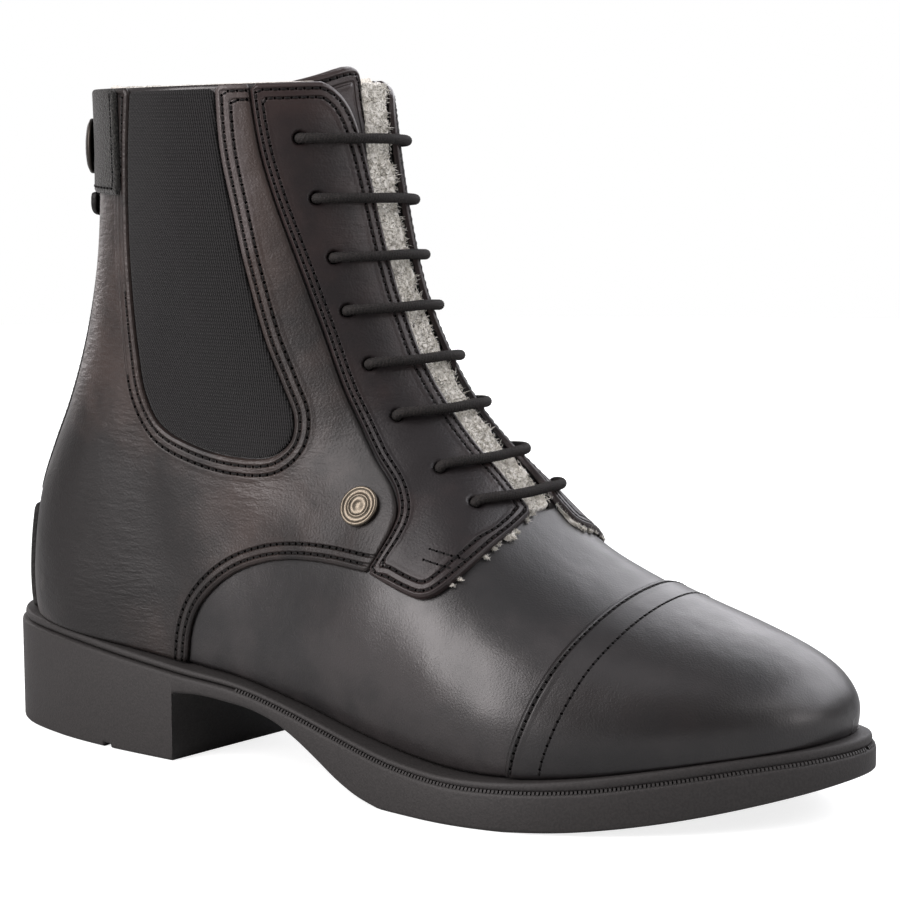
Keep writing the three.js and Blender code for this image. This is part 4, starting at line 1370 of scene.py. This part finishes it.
def sole_body():
    """Outsole: a wall round the outline with rounded edges, a heel with its breast, and the arch."""
    base = sole_stations(240)
    breast = px(mix(BREAST["outer"], BREAST["inner"], 0.5))
    notch = px([-30.8, -30.7, -29.5, -29.4])
    rows = sorted(list(base[np.abs(base - breast) > 1.2]) + list(notch))
    rows = [(x, 0) for x in rows if x < breast] + [(breast, k) for k in range(7)]
    rows += [(x, 6) for x in base if x > breast + 1.2]
    x = np.array([r[0] for r in rows])
    step = np.array([r[1] for r in rows])
    span = px(BREAST["inner"] - BREAST["outer"])
    near = np.exp(-(((x - breast) / 14) ** 2))
    left_x, right_x = x - near * span / 2, x + near * span / 2
    climb = np.array([0, 0.01, 0.04, 0.06, 0.5, 0.96, 1.0])
    shift = np.array([-0.9, -0.55, -0.15, 0, 0, 0.1, 0.9])

    def low(xs):
        share = xs * 100 / LENGTH
        ground = np.where(share > 23, pz(read(SPRING, "x", "z", share)), 0)
        ground = np.where((share > -30.72) & (share < -29.48), pz(0.6), ground)
        arch = np.where(share < 8.4, pz(read(ARCH, "x", "z", share)), 0)
        return np.maximum(ground, np.where(step == 6, np.maximum(arch, 0), arch * climb[step]) * (step > 0))

    left_x = left_x + shift[step] * (np.abs(x - breast) < 1e-6)
    right_x = right_x + shift[step] * (np.abs(x - breast) < 1e-6)
    z_left, z_right = low(left_x), low(right_x)
    left, right = at_stations(left_x, right_x)
    ring, inward = ring_of(left, right)
    z_low = np.concatenate([z_left, z_right[::-1][1:-1]])
    top = groove(ring[:, 0])
    levels = [
        (1.1, z_low), (0.5, z_low + 0.18), (0.12, z_low + 0.6), (0.0, z_low + 1.2),
        (0.0, mix(z_low + 1.2, top - 1.0, 0.5)), (0.0, top - 1.0), (0.15, top - 0.4),
        (0.6, top), (2.6, top),
    ]
    sheets, faces = stack(ring, inward, levels)
    points = list(np.concatenate(sheets))
    count, rows_count = len(ring), len(left)
    across = 12

    def cap(sheet, base_index, flip, dome):
        ids = []
        for r in range(rows_count):
            a = r
            b = (count - r) % count
            if r in (0, rows_count - 1):
                ids.append([base_index + a] * (across + 1))
                continue
            line = [base_index + a]
            for c in range(1, across):
                p = mix(sheet[a], sheet[b], c / across)
                p = p + (0, 0, dome(p, r))
                line.append(len(points))
                points.append(p)
            line.append(base_index + b)
            ids.append(line)
        for r in range(rows_count - 1):
            for c in range(across):
                face = without_repeats([ids[r][c], ids[r][c + 1], ids[r + 1][c + 1], ids[r + 1][c]])
                if len(face) > 2:
                    faces.append(face[::-1] if flip else face)

    def scoop(p, r):
        if step[r] < 5 or p[0] > px(5):
            return 0.0
        away = ((p[0] - breast - 9) / 11) ** 2 + ((p[1] - py(-13)) / 13) ** 2
        return 3.2 * float(ease(1.2 - away))

    cap(sheets[0], 0, False, scoop)
    cap(sheets[-1], (len(levels) - 1) * count, True, lambda p, r: 0.0)
    return np.array(points), faces


points, faces = sole_body()
build("outsole", points, faces, rubber, "sole_rubber", ["outsole"])


def welt_levels(x):
    """The bead round the sole's top edge, between the groove and the upper."""
    low, high = groove(x) + GAP, seat(x) - GAP
    levels = [(3.2, low)]
    for angle in np.radians(np.linspace(-90, 90, 9)):
        inset = 1.1 + 0.9 * (1 - math.cos(angle))
        levels.append((inset, low + (high - low) * (0.5 + 0.5 * math.sin(angle))))
    return [*levels, (4.6, high)]


stations = sole_stations(300)
points, faces = closed_body(*at_stations(stations, stations), welt_levels)
build("welt", points, faces, rubber, "sole_rubber", ["welt"])


def wheeling():
    """Fine teeth in the groove under the bead, from the waist round the toe."""
    stations = sole_stations(400)
    left, right = at_stations(stations, stations)
    points, faces = [], []
    for line, turn in ((left, 1), (right, -1)):
        line = resample(np.concatenate([line, 0 * line[:, :1]], 1), 1.15)
        for a, b in zip(line[:-1], line[1:]):
            if a[0] < px(-12):
                continue
            along = (b - a) / np.linalg.norm(b - a)
            inward = np.array([-along[1], along[0], 0]) * turn
            z = groove(a[0])
            base = len(points)
            for inset, dz in ((0.35, -0.35), (0.35, 0.15), (0.8, 0.75), (2.2, 0.75), (2.2, -0.35)):
                for s in (-0.34, 0.34):
                    points.append(a + inward * inset + along * s + (0, 0, z + dz))
            for m in range(5):
                n = (m + 1) % 5
                face = [base + 2 * m, base + 2 * m + 1, base + 2 * n + 1, base + 2 * n]
                faces.append(face if turn > 0 else face[::-1])
            for s in (0, 1):
                face = [base + 2 * m + s for m in range(5)]
                faces.append(face if (s > 0) != (turn > 0) else face[::-1])
    return np.array(points), faces


points, faces = wheeling()
build("sole_wheeling", points, faces, rubber, "sole_rubber", smooth=False)


def insole_levels(x):
    inset, low = WALL + 2 * GAP, seat(x)
    return [(inset + 2, low), (inset, low), (inset, low + INSOLE - 0.7), (inset + 0.7, low + INSOLE)]


shares = (1 - np.cos(np.linspace(0, np.pi, 121))) / 2
left, right = (spot(0 * shares, shares, side)[:, :2] for side in (-1, 1))
points, faces = closed_body(left, right, insole_levels)
build("insole", points, faces, fleece, "fleece", ["insole"])


# Metal pieces

def lathe(name, profile, at, lift_by, material, steps=72):
    """A turned piece on the outer side; its profile holds radius and height over the face."""
    centre, normal = near_face(px(at[0]), pz(at[1]), -1)
    side = unit(np.cross(normal, (0, 0, 1)))
    up = np.cross(side, normal)
    centre = centre + normal * lift_by
    points = [circle(centre + normal * height, side, up, steps, radius) for radius, height in profile[1:-1]]
    points += [[centre + normal * profile[0][1], centre + normal * profile[-1][1]]]
    rows = np.arange((len(profile) - 2) * steps).reshape(-1, steps)
    first, last = rows.size, rows.size + 1
    faces = [face for low, high in zip(rows, rows[1:]) for face in band(low, high)]
    faces += [[first, c, d] for c, d in zip(rows[0], np.roll(rows[0], -1))]
    faces += [[last, d, c] for c, d in zip(rows[-1], np.roll(rows[-1], -1))]
    return build(name, np.concatenate(points), faces, material, "old_metal", [name])


# Profiles: radius as a share of the piece's, and height in millimetres
BADGE_PROFILE = (
    (0, 0), (1, 0), (1, 0.7), (0.985, 0.95), (0.93, 1.15), (0.88, 1.15), (0.85, 1.0), (0.84, 0.75),
    (0.6, 0.8), (0.59, 1.05), (0.56, 1.2), (0.52, 1.2), (0.49, 1.05), (0.48, 0.85), (0.3, 0.9),
    (0.2, 1.2), (0.08, 1.4), (0, 1.42),
)
SNAP_PROFILE = (
    (0, 0), (1, 0), (1, 0.7), (0.97, 1.0), (0.8, 1.65), (0.6, 1.95), (0.3, 2.12), (0, 2.2),
)
for name, profile, wide, at, lift_by, material in (
    ("badge", BADGE_PROFILE, BADGE, BADGE_AT, SKIN + 2 * GAP + 0.3, metal),
    ("snap_button", SNAP_PROFILE, SNAP, SNAP_AT, second + STRAP + GAP, dark_metal),
):
    lathe(name, [(radius * wide / 2, height) for radius, height in profile], at, lift_by, material)

make_threads("stitches", thread, "leather")
make_hole_shades("needle_hole_shades", hole_shade, "leather")

# Camera: the photograph's viewing angle
AZIMUTH, ELEVATION, ROLL = math.radians(33), math.radians(7.5), math.radians(-0.53)
DISTANCE = 823  # from the aim, which is on the boot's middle line
AIM_Z = 95
FOCUS = 2813 / 900  # focal length as a share of the picture's width
SENSOR = 36
OFF_X, OFF_Y = 43 / 900, -9 / 900  # how far the aim is from the picture's middle

back_way = np.array([
    math.sin(AZIMUTH) * math.cos(ELEVATION), -math.cos(AZIMUTH) * math.cos(ELEVATION), math.sin(ELEVATION),
])
right_way = unit(np.cross(-back_way, (0, 0, 1)))
up_way = np.cross(right_way, -back_way)
turned_right = right_way * math.cos(ROLL) + up_way * math.sin(ROLL)
turned_up = up_way * math.cos(ROLL) - right_way * math.sin(ROLL)
eye = to_frame(np.array([0, 0, AIM_Z]) + back_way * DISTANCE)

camera_data = bpy.data.cameras.new("camera")
camera_data.sensor_width = SENSOR
camera_data.lens = SENSOR * FOCUS
camera_data.shift_x = OFF_X
camera_data.shift_y = OFF_Y
camera = bpy.data.objects.new("camera", camera_data)
camera.matrix_world = Matrix([
    (turned_right[k], turned_up[k], back_way[k], eye[k]) for k in range(3)
] + [(0, 0, 0, 1)])
bpy.context.scene.collection.objects.link(camera)
bpy.context.scene.camera = camera

# Studio

floor_skin, floor_bsdf = shader("floor", (0.5, 0.51, 0.51), 0.9)
floor_bsdf.inputs["Emission Color"].default_value = (1, 1, 1, 1)
floor_rays = node(floor_skin, "ShaderNodeLightPath").outputs["Is Camera Ray"]
link(floor_skin, math_node(floor_skin, "MULTIPLY", floor_rays, 0.8), floor_bsdf.inputs["Emission Strength"])
floor_mesh = bpy.data.meshes.new("floor")
FLOOR, FLOOR_SIDES = 1.5, 64  # radius in metres, and corners
rim = circle(np.zeros(3), np.array([1, 0, 0]), np.array([0, 1, 0]), FLOOR_SIDES, FLOOR)
floor_mesh.from_pydata(rim.tolist(), [], [list(range(FLOOR_SIDES))])
floor_mesh.materials.append(floor_skin)
floor = bpy.data.objects.new("floor", floor_mesh)
bpy.context.scene.collection.objects.link(floor)

bpy.context.scene.view_settings.view_transform = "Standard"

world = bpy.data.worlds.new("studio")
world.use_nodes = True
backdrop = world.node_tree.nodes["Background"]
backdrop.inputs["Color"].default_value = (1, 1, 1, 1)
rays = world.node_tree.nodes.new("ShaderNodeLightPath")
glow = world.node_tree.nodes.new("ShaderNodeMapRange")
glow.inputs["To Min"].default_value = 0.12
glow.inputs["To Max"].default_value = 1.0
world.node_tree.links.new(rays.outputs["Is Camera Ray"], glow.inputs["Value"])
world.node_tree.links.new(glow.outputs[0], backdrop.inputs["Strength"])
bpy.context.scene.world = world

WARM, COOL = (1, 0.955, 0.96), (0.965, 0.955, 1.0)


LIT_HEIGHT = 0.08  # height in metres of the point that the lamps face


def softbox(name, azimuth, elevation, distance, size, brightness, color=WARM):
    """A rectangular lamp that faces the boot; its distance and size are metres."""
    a, e = math.radians(azimuth), math.radians(elevation)
    way = Vector((math.sin(a) * math.cos(e), -math.cos(a) * math.cos(e), math.sin(e)))
    light = bpy.data.lights.new(name, "AREA")
    light.shape = "RECTANGLE"
    light.size, light.size_y = size
    light.energy = brightness * math.pi * size[0] * size[1]
    light.color = color
    obj = bpy.data.objects.new(name, light)
    place = Vector((0, 0, LIT_HEIGHT)) + way * distance
    obj.matrix_world = Matrix.Translation(place) @ way.to_track_quat("Z", "Y").to_matrix().to_4x4()
    bpy.context.scene.collection.objects.link(obj)


softbox("key", -25, 32, 1.5, (0.8, 1.8), 7.6)
softbox("front", 3, 8, 1.6, (0.3, 0.5), 2.4)
softbox("inner side", 96, 9, 1.5, (0.5, 0.5), 4.5)
softbox("behind", 179, 30, 1.5, (1.7, 0.95), 3.4, COOL)
softbox("heel side", -114, 14, 1.4, (0.5, 0.7), 2.6)
softbox("toe side", 128, 34, 1.4, (0.9, 0.8), 3.3, COOL)
softbox("inner high", 90, 38, 1.5, (0.5, 0.5), 2.6)
softbox("overhead", 60, 80, 1.5, (0.8, 0.8), 0.9, COOL)
